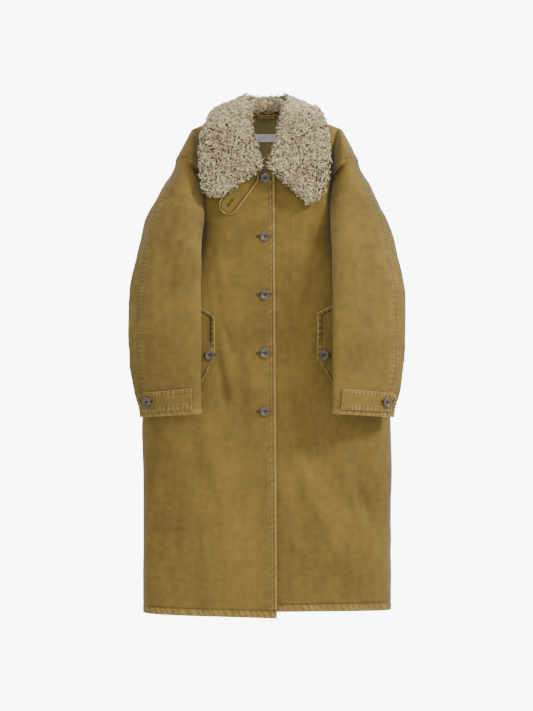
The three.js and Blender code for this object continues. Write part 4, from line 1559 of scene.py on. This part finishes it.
        def relief(u: float, v: float, p: Vector) -> tuple[float, float]:
            """The flap's lift, its puckered edges, their worn paleness and the painted shade in the groove
            inside its edge.
            """
            x, z = p.x, p.z
            edge = min(u * 68, v * (110 + 140 * u), (1 - v) * (110 + 140 * u))
            along = z if u * 68 <= edge + 0.01 else x
            pucker = ripple(along, 12, 8 + sign) * bell(edge - 6, 6)
            near_button = smooth(12, 50, math.hypot(x - sign * self.flap_button[0], z - self.flap_button[1]))
            curl = peel * bell(u, 0.16) * near_button - 1.6 * bell(edge - 11, 3) * near_button
            groove = -0.8 * bell(edge - 5, 1.6)
            # Worn paleness on the puckers and the edge; painted shade in the groove inside the edge, away
            # from the button.
            wear_and_shade = 0.9 * pucker + 0.9 * bell(edge, 2.4) - 0.7 * bell(edge - 11, 3) * near_button
            return 3.0 + self.folds(sign, x, z) + 0.9 * pucker + curl + groove, clamp(wear_and_shade, -1)

        def hole(p: Vector) -> bool:
            """Whether a face is inside the flap's buttonhole."""
            return abs(p.x - sign * self.flap_button[0]) < 12.5 and abs(p.z - self.flap_button[1]) < 2

        name = f"{side.word}_pocket_flap_cloth"
        cloth = Cloth(name, place, 34, 96, BODY.outward, relief, 2.2, hole=hole).shape()
        for inset in (4, 10):
            a, low, high = inset / 68, inset / 110, 1 - inset / 110
            loop = [(a, v) for v in spread(high, low, 20)]
            across = spread(a, 0.97, 20)
            loop += [(u, inset / lerp(110, 250, u)) for u in across]
            cloth.sew([place(u, v) for u, v in loop])
            cloth.sew([place(u, 1 - inset / lerp(110, 250, u)) for u in across])
        for inset in (0.9, 0.975):
            cloth.sew([place(inset, v) for v in spread(0.02, 0.98, 30)])
        ring_at, ring_normal, _, _ = cloth.tree.find_nearest(
            BODY.front(sign * self.flap_button[0], self.flap_button[1]))
        cloth.add(Buttonhole(ring_at, Vector((1, 0, 0)), ring_normal, half=15).make())
        cloth.settle(Slot.CANVAS, [f"{side.word}_pocket_flap"],
                     "laid", [f"{side.word}_front_cloth"], f"{side.word}_flap")
        self.make_pouch(side)

    def make_pouch(self, side: Side) -> None:
        """Builds a pocket's flat pouch, behind the shell.

        Args:
            side: The wearer's side.
        """
        sign = side.value

        def place(u: float, v: float) -> Vector:
            """A point of the pouch's surface, with its lower corners rounded."""
            x, z = lerp(137, 225, u), lerp(-688, -478, v)
            pull = 9 * bell(v, 0.08) * abs(2 * u - 1) ** 3
            return BODY.front(sign * (x - math.copysign(pull, u - 0.5)), z)

        def relief(u: float, v: float, p: Vector) -> tuple[float, float]:
            """The pouch's place behind the shell, a little slack."""
            return -4.8 + self.folds(sign, p.x, p.z) * 0.8 + 0.3 * rolling(p.x, p.y, p.z, 22), 0.0

        cloth = Cloth(f"{side.word}_pocket_pouch", place, 26, 56, BODY.outward, relief, 3.6).shape()
        cloth.sew([place(0.05, v) for v in spread(1, 0, 20)], 5)
        cloth.settle(Slot.LINING, [f"{side.word}_pocket_bag"], "hung", [f"{side.word}_front_cloth"], "coat")

    def make_buttons(self) -> None:
        """Builds the buttons of the front, the pockets and the throat latch."""
        ahead = Vector((0, -1, 0))
        for n, z in enumerate(self.buttonholes(), 1):
            foot = BODY.front(self.button_x, z) - ahead * (self.under_by + 0.5)
            name = f"front_button_{n}"
            Button(f"{name}_horn", foot, ahead, self.under_by + 0.5).settle(name, "coat")
        for side in Side:
            x, z = side.value * self.flap_button[0], self.flap_button[1]
            surface = lambda u, v: BODY.front(x + (u - 0.5) * 20, z + (v - 0.5) * 20)
            normal = patch_normal(surface, 0.5, 0.5, BODY.outward)
            foot = BODY.front(x, z) - normal * 0.5 + normal * self.folds(side.value, x, z)
            name = f"{side.word}_pocket_button"
            Button(f"{name}_horn", foot, normal, 3.4).settle(name, "coat")
        Button("latch_button_horn", BODY.front(70, -164), ahead, 0.1, 9, 3).settle("latch_button", "coat")


# Each fold: from, to, height, half width, all in millimetres.
FOLD_LINES = {
    -1: (((-60, -760), (-30, -1150), 2.4, 26), ((-200, -760), (-130, -930), -3.0, 20),
         ((-127, -540), (-94, -720), -5.0, 13), ((-112, -540), (-74, -700), 3.0, 14),
         ((-100, -505), (-86, -565), -2.4, 8), ((-70, -560), (-60, -1000), -2.0, 22)),
    1: (((30, -735), (178, -1070), 5.0, 22), ((198, -850), (262, -1000), -4.6, 12),
        ((180, -840), (236, -1000), 4.0, 15), ((40, -790), (110, -1100), -3.6, 22),
        ((100, -700), (215, -900), 2.4, 18)),
}


def in_armhole(p: Vector) -> bool:
    """Whether a point of a panel or a sleeve lies in the opening between them."""
    return abs(p.y) < 30 and -213 < p.z < -112 and BODY.widths(p.z) * 0.99 < abs(p.x) < 172


def lining_inset(p: Vector) -> float:
    """How far the lining lies behind the shell at a point, sewn close at its edges.

    Args:
        p: A point of the body's surface.

    Returns:
        The distance.
    """
    from_edge = min(p.z - (BODY.hem_z + 30), -150 - p.z)
    sewn = lerp(4.0, 9.0, clamp(-p.y / 30))
    return lerp(sewn, 14.5, clamp(from_edge / 60))


def lining_relief(_: float, v: float, p: Vector) -> tuple[float, float]:
    """The relief of a body lining: how far it lies behind the shell, with soft slack."""
    slack = 1.2 * rolling(p.x, p.y, p.z, 60) * smooth(0, 0.15, min(v, 1 - v))
    return -lining_inset(p) + slack, 0.0


@dataclass
class Backs:
    """The two back panels, the back lining and the neck's facing, label and hanger loop."""

    seam_gap: float = 0.03

    def relief(self, side: int) -> Relief:
        """The relief of a back panel.

        Args:
            side: The sign of x.

        Returns:
            The height and the wear at a share across and up, at a point.
        """

        def at(u: float, v: float, p: Vector) -> tuple[float, float]:
            """The height and the wear there."""
            hills = 2.8 * noise.noise(Vector((p.x / 110, p.z / 380, side * 13.7)))
            hills += 1.2 * noise.noise(Vector((p.x / 46, p.z / 140, side * 4.2)))
            hills += 0.35 * noise.noise(Vector((p.x / 15, p.z / 24, side * 2.5)))
            hills *= smooth(-40, -160, p.z) * smooth(0, 30, abs(p.x)) * smooth(0, 0.08, u)
            up = p.z - BODY.hem_z
            hem = ripple(p.x + up * 0.5, 14, 6.3 + side) * bell(up - 9, 10)
            middle = ripple(p.z + abs(p.x), 15, 2.2 + side) * bell(abs(p.x) - 6, 7)
            height = hills + 1.5 * hem + 0.7 * middle - 0.8 * bell(p.x, 2.5)
            return height, clamp(hem + 0.6 * middle + 0.5 * bell(up, 2.5))

        return at

    def build(self) -> None:
        """Builds every piece of the back."""
        for side in Side:
            sign = side.value
            place = BODY.panel(lambda z, u: sign * lerp(90 + self.seam_gap, 180 - self.seam_gap, u),
                               lambda u: BODY.hem_z, BODY.back_neck_z)
            cloth = Cloth(f"{side.word}_back_cloth", place, 92, 250, BODY.outward, self.relief(sign),
                          hole=in_armhole).shape()
            across = spread(4, 292, 50)
            cloth.sew([BODY.back(sign * x, BODY.hem_z + 18) for x in across])
            heights = spread(-12, -1184, 50)
            cloth.sew([BODY.back(sign * 5.5, z) for z in heights])
            cloth.settle(Slot.CANVAS, [f"{side.word}_back_panel"], "hung", [], "coat")
        self.make_lining()
        self.make_neck()

    def make_lining(self) -> None:
        """Builds the lining of the back."""
        def place(u: float, v: float) -> Vector:
            """A point of the lining's surface."""
            return BODY.point(lerp(90.1, 269.9, u), lerp(BODY.hem_z + 30, -150, v))

        cloth = Cloth("back_lining_cloth", place, 110, 160, BODY.outward, lining_relief, 1.0,
                      hole=in_armhole).shape()
        cloth.settle(Slot.LINING, ["back_lining"], "hung", ["right_back_cloth", "left_back_cloth"], "coat")

    def make_neck(self) -> None:
        """Builds the facing, the blank label and the hanger loop at the back of the neck."""
        tops: dict[float, float] = {}

        def place(u: float, v: float) -> Vector:
            """A point of the facing's surface."""
            bearing = lerp(150, 210, u)
            if u not in tops:
                tops[u] = BODY.top_of(lambda z: bearing, BODY.back_neck_z)
            return BODY.point(bearing, lerp(-138, tops[u], v))

        facing = Cloth("neck_facing_cloth", place, 60, 50, BODY.outward,
                       lambda u, v, p: (-3.6, 0.4 * bell(v - 0.02, 0.03)), 1.0).shape()
        facing.settle(Slot.LINING, ["neck_facing"], "hung", ["right_back_cloth", "left_back_cloth"], "coat")

        def label_at(u: float, v: float) -> Vector:
            """A point of the label's surface."""
            return BODY.back(lerp(29, -29, u), lerp(-59, -40, v))

        label = Cloth("neck_label_cloth", label_at, 30, 12, lambda p: Vector((0, -1, 0)),
                      lambda u, v, p: (5.8 + 0.5 * bell(u, 0.1) + 0.25 * math.sin(u * 9), 0.2), 0.7).shape()
        for v in (0.1, 0.9):
            label.sew([label_at(t / 10, v) for t in range(11)], 2.6)
        label.settle(Slot.LABEL, ["size_label"], "laid", ["neck_facing_cloth"], "coat")
        self.make_loop()

    def make_loop(self) -> None:
        """Builds the hanger loop, a folded strip that stands off the neckband."""
        def place(u: float, v: float) -> Vector:
            """A point of the loop's outer face."""
            x = lerp(-27, 27, u)
            off = 7 * smooth(27, 18, abs(x)) + 0.4
            ends = 1 + 0.18 * bell(abs(x) - 25, 3)
            sag = -0.8 * bell(x, 16)
            return Vector((x, 34.2 - off, lerp(-4.5, 4.5, v) * ends + sag))

        def relief(u: float, v: float, p: Vector) -> tuple[float, float]:
            """The loop's rolled edges and end folds."""
            edge = min(v, 1 - v) * 9
            return 0.5 * bell(edge - 1.5, 1.2) + 0.5 * bell(abs(p.x) - 22, 1.5), clamp(0.8 * bell(edge, 1.2))

        cloth = Cloth("hanger_strip", place, 54, 12, lambda p: Vector((0, -1, 0)), relief, 1.5).shape()
        cloth.sew([place(u, 0.2) for u in spread(0, 1, 30)], 9)
        cloth.settle(Slot.CANVAS, ["hanger_loop"], "stretched", ["neckband_cloth"], "coat")


@dataclass
class Sleeves:
    """The dropped shoulders, sleeves, cuffs and cuff tabs."""

    seam: float = 34
    tab_from: float = 128
    tab_to: float = 22
    tab_low: float = 12
    tab_high: float = 62
    button_around: float = 42

    def relief(self, side: int) -> Relief:
        """The relief of a sleeve.

        Args:
            side: The sign of x.

        Returns:
            The height, and the tone mark of worn paleness above 0 and painted shade below 0, at a share round
            and down, at a point.
        """

        def at(u: float, v: float, p: Vector) -> tuple[float, float]:
            """The height, and the tone mark there: worn paleness, with painted shade in the seam's groove."""
            around, share = (u * 360) % 360, 1 - v
            loose = smooth(0, 0.12, share)
            hills = 4.6 * noise.noise(Vector((p.x / 52, p.y / 60, p.z / 190 + side * 5)))
            hills += 2.0 * noise.noise(Vector((p.x / 24, p.y / 26, p.z / 60 + side * 8)))
            hills += 0.5 * noise.noise(Vector((p.x / 12, p.y / 12, p.z / 17)))
            cuff = smooth(0.93, 0.8, share)
            over_flap = 1 - 0.85 * bell(around - 140, 60) * smooth(0.42, 0.54, share)
            height = hills * loose * lerp(0.35, 1, cuff) * over_flap
            arc = 1.25 * (around - self.seam)
            pucker = ripple(p.z, 10, 4.4 + side) * bell(arc - 4, 7) * smooth(0, 0.08, share)
            up = (1 - share) * SLEEVE.length
            hem = ripple(arc + up * 0.4, 13, 2.7 + side) * bell(up - 8, 9)
            top = ripple(arc, 14, 5.1) * bell(share * SLEEVE.length - 6, 6)
            height += 1.2 * pucker + 1.4 * hem + 0.5 * top - 0.9 * bell(arc, 1.6)
            to_body = bell(around - 180, 42) * smooth(0.34, 0.22, share) * smooth(0, 0.04, share)
            height += 5.5 * to_body - 2.2 * bell(around - 180, 45) * smooth(0.42, 0.54, share) * cuff
            # Worn paleness on the puckers and the cuff's edge; painted shade in the groove of the outer seam.
            return height, clamp(0.7 * pucker + hem + 0.5 * bell(up, 2.5) - 0.4 * bell(arc, 2), -1)

        return at

    def bend(self, obj: bpy.types.Object, side: Side) -> None:
        """Bakes a sleeve's placement into its mesh."""
        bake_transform(obj)

    def build(self) -> None:
        """Builds both sleeves with all that is on them."""
        for side in Side:
            self.make_cap(side)
            self.make_sleeve(side)
            self.make_inside(side)
            self.make_tab(side)

    def make_cap(self, side: Side) -> None:
        """Builds the dropped shoulder.

        Args:
            side: The wearer's side.
        """
        sign = side.value

        def place(u: float, v: float) -> Vector:
            """A point of the shoulder's surface."""
            inside = (1 - v) ** 2 * bell(min(u, 1 - u) * 356, 85)
            p = SLEEVE.cap(sign, 178 - 356 * u, lerp(-0.02, 0.985, v), BODY)
            p.x = lerp(p.x, sign * 155.5, inside)
            p.z -= 46 * (1 - v) * inside
            return p

        def relief(u: float, v: float, p: Vector) -> tuple[float, float]:
            """The shoulder's puckered seams."""
            up = v * 90
            pucker = ripple(u * 230, 14, 6.1 + sign) * bell(up - 6, 6)
            to_body = bell(min(u, 1 - u) * 356, 70)
            hills = 0.8 * rolling(p.x, p.y, p.z, 40) * smooth(0, 0.3, min(v, 1 - v))
            close = 4.5 * to_body * smooth(0.1, 0.5, v)
            # Worn paleness on the puckers; painted shade along the seam where the shoulder meets the sleeve.
            return 0.6 * pucker + hills + close, 0.5 * pucker - 0.4 * bell(up - 2, 2)

        cloth = Cloth(f"{side.word}_shoulder_cloth", place, 90, 36,
                      lambda p: Vector((p.x - sign * 193, p.y, 20)), relief, hole=in_armhole).shape()
        for v in (0.05, 0.13):
            cloth.sew([place(u, v) for u in spread(0.02, 0.98, 60)])
        cloth.settle(Slot.CANVAS, [f"{side.word}_shoulder_cap"],
                     "draped", [f"{side.word}_front_cloth"], "coat")

    def make_sleeve(self, side: Side) -> None:
        """Builds the sleeve as one tube with its outer seam.

        Args:
            side: The wearer's side.
        """
        sign = side.value

        def place(u: float, v: float) -> Vector:
            """A point of the sleeve's surface, round it and up from the cuff."""
            return SLEEVE.point(sign, 360 * u, 1 - v)

        cloth = Cloth(f"{side.word}_sleeve_cloth", place, 132, 170, SLEEVE.outward(sign), self.relief(sign),
                      closed=True, hole=in_armhole).shape()
        shares = [i / 50 for i in range(51)]
        for offset in (1.8, 8.0):
            cloth.sew([SLEEVE.point(sign, self.seam + offset / 1.25, s) for s in shares])
        cloth.sew([SLEEVE.point(sign, 360 * s, 1 - 15 / SLEEVE.length) for s in shares])
        obj = cloth.settle(Slot.CANVAS, [f"{side.word}_sleeve_front", f"{side.word}_sleeve_back"],
                           "hung", [f"{side.word}_shoulder_cloth"])
        self.bend(obj, side)

    def make_inside(self, side: Side) -> None:
        """Builds the sleeve's lining and the facing of its cuff.

        Args:
            side: The wearer's side.
        """
        sign = side.value
        lining = Cloth(f"{side.word}_sleeve_lining_cloth",
                       lambda u, v: SLEEVE.point(sign, 360 * u, lerp(0.93, 0.02, v)), 60, 70,
                       SLEEVE.outward(sign),
                       lambda u, v, p: (-6.5 + 0.8 * rolling(p.x, p.y, p.z, 40), 0.0), 1.0, closed=True,
                       hole=in_armhole).shape()
        obj = lining.settle(Slot.LINING, [f"{side.word}_sleeve_lining"],
                            "hung", [f"{side.word}_sleeve_cloth"])
        self.bend(obj, side)
        facing = Cloth(f"{side.word}_cuff_facing_cloth",
                       lambda u, v: SLEEVE.point(sign, 360 * u, lerp(0.995, 0.925, v)), 132, 12,
                       SLEEVE.outward(sign),
                       lambda u, v, p: (self.relief(sign)(u, lerp(0.005, 0.075, v), p)[0] - 2.8, 0.0), 1.0,
                       closed=True).shape()
        facing.settle(Slot.CANVAS, [f"{side.word}_cuff_facing"],
                      "hung", [f"{side.word}_sleeve_cloth"], f"{side.word}_sleeve")

    def make_tab(self, side: Side) -> None:
        """Builds the tab that goes round the front of the cuff, and its button.

        Args:
            side: The wearer's side.
        """
        sign = side.value
        high, low = 1 - self.tab_high / SLEEVE.length, 1 - self.tab_low / SLEEVE.length

        def place(u: float, v: float) -> Vector:
            """A point of the tab: from where it is sewn to its round end, and up."""
            squeeze = 1 - 0.6 * (1 - math.sqrt(1 - clamp((u - 0.86) / 0.15) ** 2))
            mid = lerp(low, high, 0.5)
            share = lerp(mid, lerp(low, high, v), squeeze) + 0.012 * (u - 0.4) * v
            return SLEEVE.point(sign, lerp(self.tab_from, self.tab_to - 4, u), share)

        def relief(u: float, v: float, p: Vector) -> tuple[float, float]:
            """The tab's lift and its puckered edges."""
            edge = min(v * 50, (1 - v) * 50, u * 128 + 8, (1 - u) * 128 + 2)
            along = p.x if edge >= min(v * 50, (1 - v) * 50) - 0.01 else p.z
            pucker = ripple(along, 9, 3.9 + sign) * bell(edge - 6, 6)
            under = self.relief(sign)(lerp(self.tab_from, self.tab_to, u) / 360,
                                      (p.z - SLEEVE.top_z + SLEEVE.length) / SLEEVE.length, p)[0]
            height = 3.8 + max(under, 0) + 1.1 * pucker + 2.0 * smooth(0.8, 1, u)
            return height, clamp(pucker + 0.5 * bell(edge, 2))

        button = SLEEVE.point(sign, self.button_around, lerp(low, high, 0.5))

        def hole(p: Vector) -> bool:
            """Whether a face is inside the tab's buttonhole."""
            return abs(p.x - button.x) < 12 and abs(p.z - button.z) < 1.6

        name = f"{side.word}_cuff_tab_cloth"
        cloth = Cloth(name, place, 80, 32, SLEEVE.outward(sign), relief, 2.2, hole=hole).shape()
        for inset in (3.5, 9):
            v = inset / 50
            cloth.sew([place(t / 30, v) for t in range(30)] + [place(1 - v * 0.35, lerp(v, 1 - v, t / 10))
                                                               for t in range(11)]
                      + [place(1 - t / 30, 1 - v) for t in range(1, 31)])
        above = button + SLEEVE.outward(sign)(button).normalized() * 4
        ring_at, ring_normal, _, _ = cloth.tree.find_nearest(above)
        along = Vector((1, 0, 0)) - ring_normal * ring_normal.x
        cloth.add(Buttonhole(ring_at, along.normalized(), ring_normal, half=15).make())
        cloth.settle(Slot.CANVAS, [f"{side.word}_cuff_tab"],
                     "laid", [f"{side.word}_sleeve_cloth"], f"{side.word}_tab")
        surface = lambda u, v: SLEEVE.point(sign, u * 100, v)
        normal = patch_normal(surface, self.button_around / 100, lerp(low, high, 0.5), SLEEVE.outward(sign))
        name = f"{side.word}_cuff_button"
        shank = (ring_at - button).length - 0.2
        Button(f"{name}_horn", button, normal, shank).settle(name, f"{side.word}_sleeve")


@dataclass
class Collar:
    """The neckband, the fleece collar and the throat latch."""

    cut: float = -28
    latch_pivot: tuple = (-44, -150)
    latch_lean: float = 36
    latch_length: float = 128
    latch_width: float = 48
    seam_inset: float = 5.5

    def build(self) -> None:
        """Builds every piece of the collar."""
        wings = {
            Side.RIGHT: COLLAR.surface(COLLAR.roll_right, COLLAR.edge_right),
            Side.LEFT: COLLAR.surface(COLLAR.roll_left, COLLAR.edge_left),
        }
        for side, surface in wings.items():
            self.make_leaf(f"{side.word}_wing", surface, f"{side.word}_wing", f"{side.word}_under_collar",
                           f"{side.word}_pile_collar", 3300, 20 + side.value, lambda p: p.y < self.cut + 2)
        back = COLLAR.surface(COLLAR.whole(COLLAR.roll_back), COLLAR.whole(COLLAR.edge_back))
        self.make_leaf("back_collar", back, "coat", "back_under_collar", "back_pile_collar", 3300, 30,
                       lambda p: p.y > self.cut - 2)
        self.make_band()
        self.make_latch()

    def make_leaf(self, name: str, surface: Place, body: str, under: str, pile: str, locks: int, seed: int,
                  keep: Callable[[Vector], bool]) -> None:
        """Builds one leaf of the collar: its canvas and its fleece.

        Args:
            name: The start of the pieces' names.
            surface: The leaf's surface.
            body: The body that it moves with.
            under: The frame's node for the canvas.
            pile: The frame's node for the fleece.
            locks: How many locks its fleece has.
            seed: Where its random numbers start.
            keep: Whether the leaf has a point.
        """
        cloth = Cloth(f"{name}_canvas", surface, 60, 30, COLLAR.outward,
                      lambda u, v, p: (0.0, 0.6 * bell(1 - v, 0.03)), 1.5, hole=lambda p: not keep(p)).shape()
        cloth.settle(Slot.CANVAS, [under], "folded", ["neckband_cloth"], body)
        obj = Fleece(f"{name}_fleece", surface, COLLAR.outward, locks, seed, keep=keep).make()
        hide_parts(pile)
        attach(obj, body)

    def make_band(self) -> None:
        """Builds the neckband and the fleece that turns over into it."""
        band = COLLAR.band()
        outward = lambda p: Vector((p.x, p.y, 0))
        cloth = Cloth("neckband_cloth", band, 140, 16, outward, lambda u, v, p: (0.0, 0.0), 2.0).shape()
        cloth.settle(Slot.CANVAS, ["neckband"], "hung", ["left_front_cloth"], "coat")

        def inner(u: float, v: float) -> Vector:
            """A point of the band's inner face, from its top down."""
            behind = outward(band(u, 0.5)).normalized() * 2.2
            return band(lerp(0.03, 0.97, u), lerp(1.0, 0.3, v)) - behind

        obj = Fleece("neck_fleece", inner, lambda p: -outward(p), 2200, 41, mat=4.0, columns=120, rows=16,
                     size=0.88).make()
        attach(obj, "coat")

    def make_latch(self) -> None:
        """Builds the throat latch, a wide tongue under the collar."""
        lean = math.radians(-90 - self.latch_lean)
        run = Vector((math.cos(lean), 0, math.sin(lean)))
        side = Vector((-run.z, 0, run.x))
        origin = Vector((self.latch_pivot[0], -79.0, self.latch_pivot[1])) - run * (self.latch_width / 2)

        def place(u: float, v: float) -> Vector:
            """A point of the tongue: across it, and along to its round end."""
            along = v * self.latch_length
            r = self.latch_width / 2
            near = min(along, self.latch_length - along)
            half = r if near > r else math.sqrt(max(r * r - (r - near) ** 2, 9))
            return origin + run * along + side * ((u - 0.5) * 2 * half)

        def relief(u: float, v: float, p: Vector) -> tuple[float, float]:
            """The tongue's puckered edge."""
            edge = min(min(u, 1 - u) * self.latch_width, min(v, 1 - v) * self.latch_length)
            pucker = ripple(v * self.latch_length + u * 20, 10, 7.7) * bell(edge - 6, 5)
            groove = -0.7 * bell(edge - 5.5, 1.7)
            # Worn paleness on the edge; painted shade in the groove of the stitching.
            wear_and_shade = 0.9 * bell(edge - 1, 2.4) - 0.8 * bell(edge - 6, 1.8)
            return 1.8 + 0.4 * pucker + groove, clamp(wear_and_shade, -1)

        cloth = Cloth("throat_tongue", place, 40, 90, lambda p: Vector((0, -1, 0)), relief, 2.0).shape()
        a = self.seam_inset / self.latch_width
        w = self.seam_inset / self.latch_length
        cloth.sew([place(a, v) for v in spread(w, 1 - w, 40)]
                  + [place(u, 1 - w) for u in spread(a, 1 - a, 12)]
                  + [place(1 - a, v) for v in spread(1 - w, w, 40)])
        eye = origin + run * (self.latch_length - self.latch_width * 0.62) + Vector((0, -1.8, 0))
        cloth.add(Buttonhole(eye, run, Vector((0, -1, 0)), half=11, wide=1.6, cord=0.9).make())
        cloth.settle(Slot.CANVAS, ["throat_latch"], "laid", ["right_front_cloth"], "latch")


@dataclass
class Studio:
    """The pale backdrop, the soft lights and the camera."""

    distance: float = 14.0
    frame_height: float = 1.7064
    middle: tuple = (-0.001, -0.105, -0.577)
    floor_z: float = -2.4
    floor_radius: float = 8.0
    wall_y: float = 30.0
    wall_size: float = 9.0

    def build(self) -> None:
        """Builds the backdrop, the lights and the camera."""
        self.make_backdrop()
        self.make_light("key", (3.4, -2.2, 2.2), 0.9, 250)
        self.make_light("fill", (0.0, -4.8, 1.2), 1.6, 40)
        self.make_light("over", (-0.3, -0.8, 3.0), 1.2, 70)
        world = bpy.data.worlds.new("soft_room")
        world.use_nodes = True
        ground = world.node_tree.nodes["Background"]
        ground.inputs["Color"].default_value = (1, 1, 1, 1)
        ground.inputs["Strength"].default_value = 0.95
        bpy.context.scene.world = world
        lens = bpy.data.cameras.new("camera")
        lens.sensor_fit = "VERTICAL"
        lens.sensor_height = 36
        lens.lens = 36 * self.distance / self.frame_height
        lens.clip_end = 150
        camera = bpy.data.objects.new("camera", lens)
        x, y, z = self.middle
        camera.location = (x, y - self.distance, z)
        camera.rotation_euler = (math.pi / 2, 0, 0)
        bpy.context.scene.collection.objects.link(camera)
        bpy.context.scene.camera = camera

    def make_backdrop(self) -> None:
        """Builds a round pale floor, and a pale wall so far back that no view gets behind it."""
        floor, wall = bmesh.new(), bmesh.new()
        bmesh.ops.create_circle(floor, cap_ends=True, segments=96, radius=self.floor_radius,
                                matrix=Matrix.Translation((0, 0, self.floor_z)))
        upright = Matrix.Rotation(math.pi / 2, 4, "X")
        bmesh.ops.create_grid(wall, x_segments=1, y_segments=1, size=self.wall_size,
                              matrix=Matrix.Translation((0, self.wall_y, 0)) @ upright)
        for name, bm, material in (("floor", floor, DYES.floor), ("wall", wall, DYES.backdrop)):
            mesh = bpy.data.meshes.new(name)
            bm.to_mesh(mesh)
            bm.free()
            mesh.materials.append(material)
            obj = bpy.data.objects.new(name, mesh)
            bpy.context.scene.collection.objects.link(obj)

    def make_light(self, name: str, place: Sequence[float], size: float, power: float) -> None:
        """Adds a soft square light that looks at the coat.

        Args:
            name: The light's name.
            place: Where it stands.
            size: The length of its side.
            power: Its power in watts.
        """
        lamp = bpy.data.lights.new(name, "AREA")
        lamp.energy = power
        lamp.size = size
        obj = bpy.data.objects.new(name, lamp)
        obj.location = place
        look = Vector(self.middle) - Vector(place)
        obj.rotation_euler = look.to_track_quat("-Z", "Y").to_euler()
        bpy.context.scene.collection.objects.link(obj)


def main() -> None:
    """Builds the coat and its studio."""
    logging.basicConfig(level=logging.INFO, format="%(message)s")
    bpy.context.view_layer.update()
    Studio().build()
    for part in (Fronts(), Backs(), Sleeves(), Collar()):
        part.build()
        log.info("built %s", type(part).__name__)


if __name__ == "__main__":
    main()
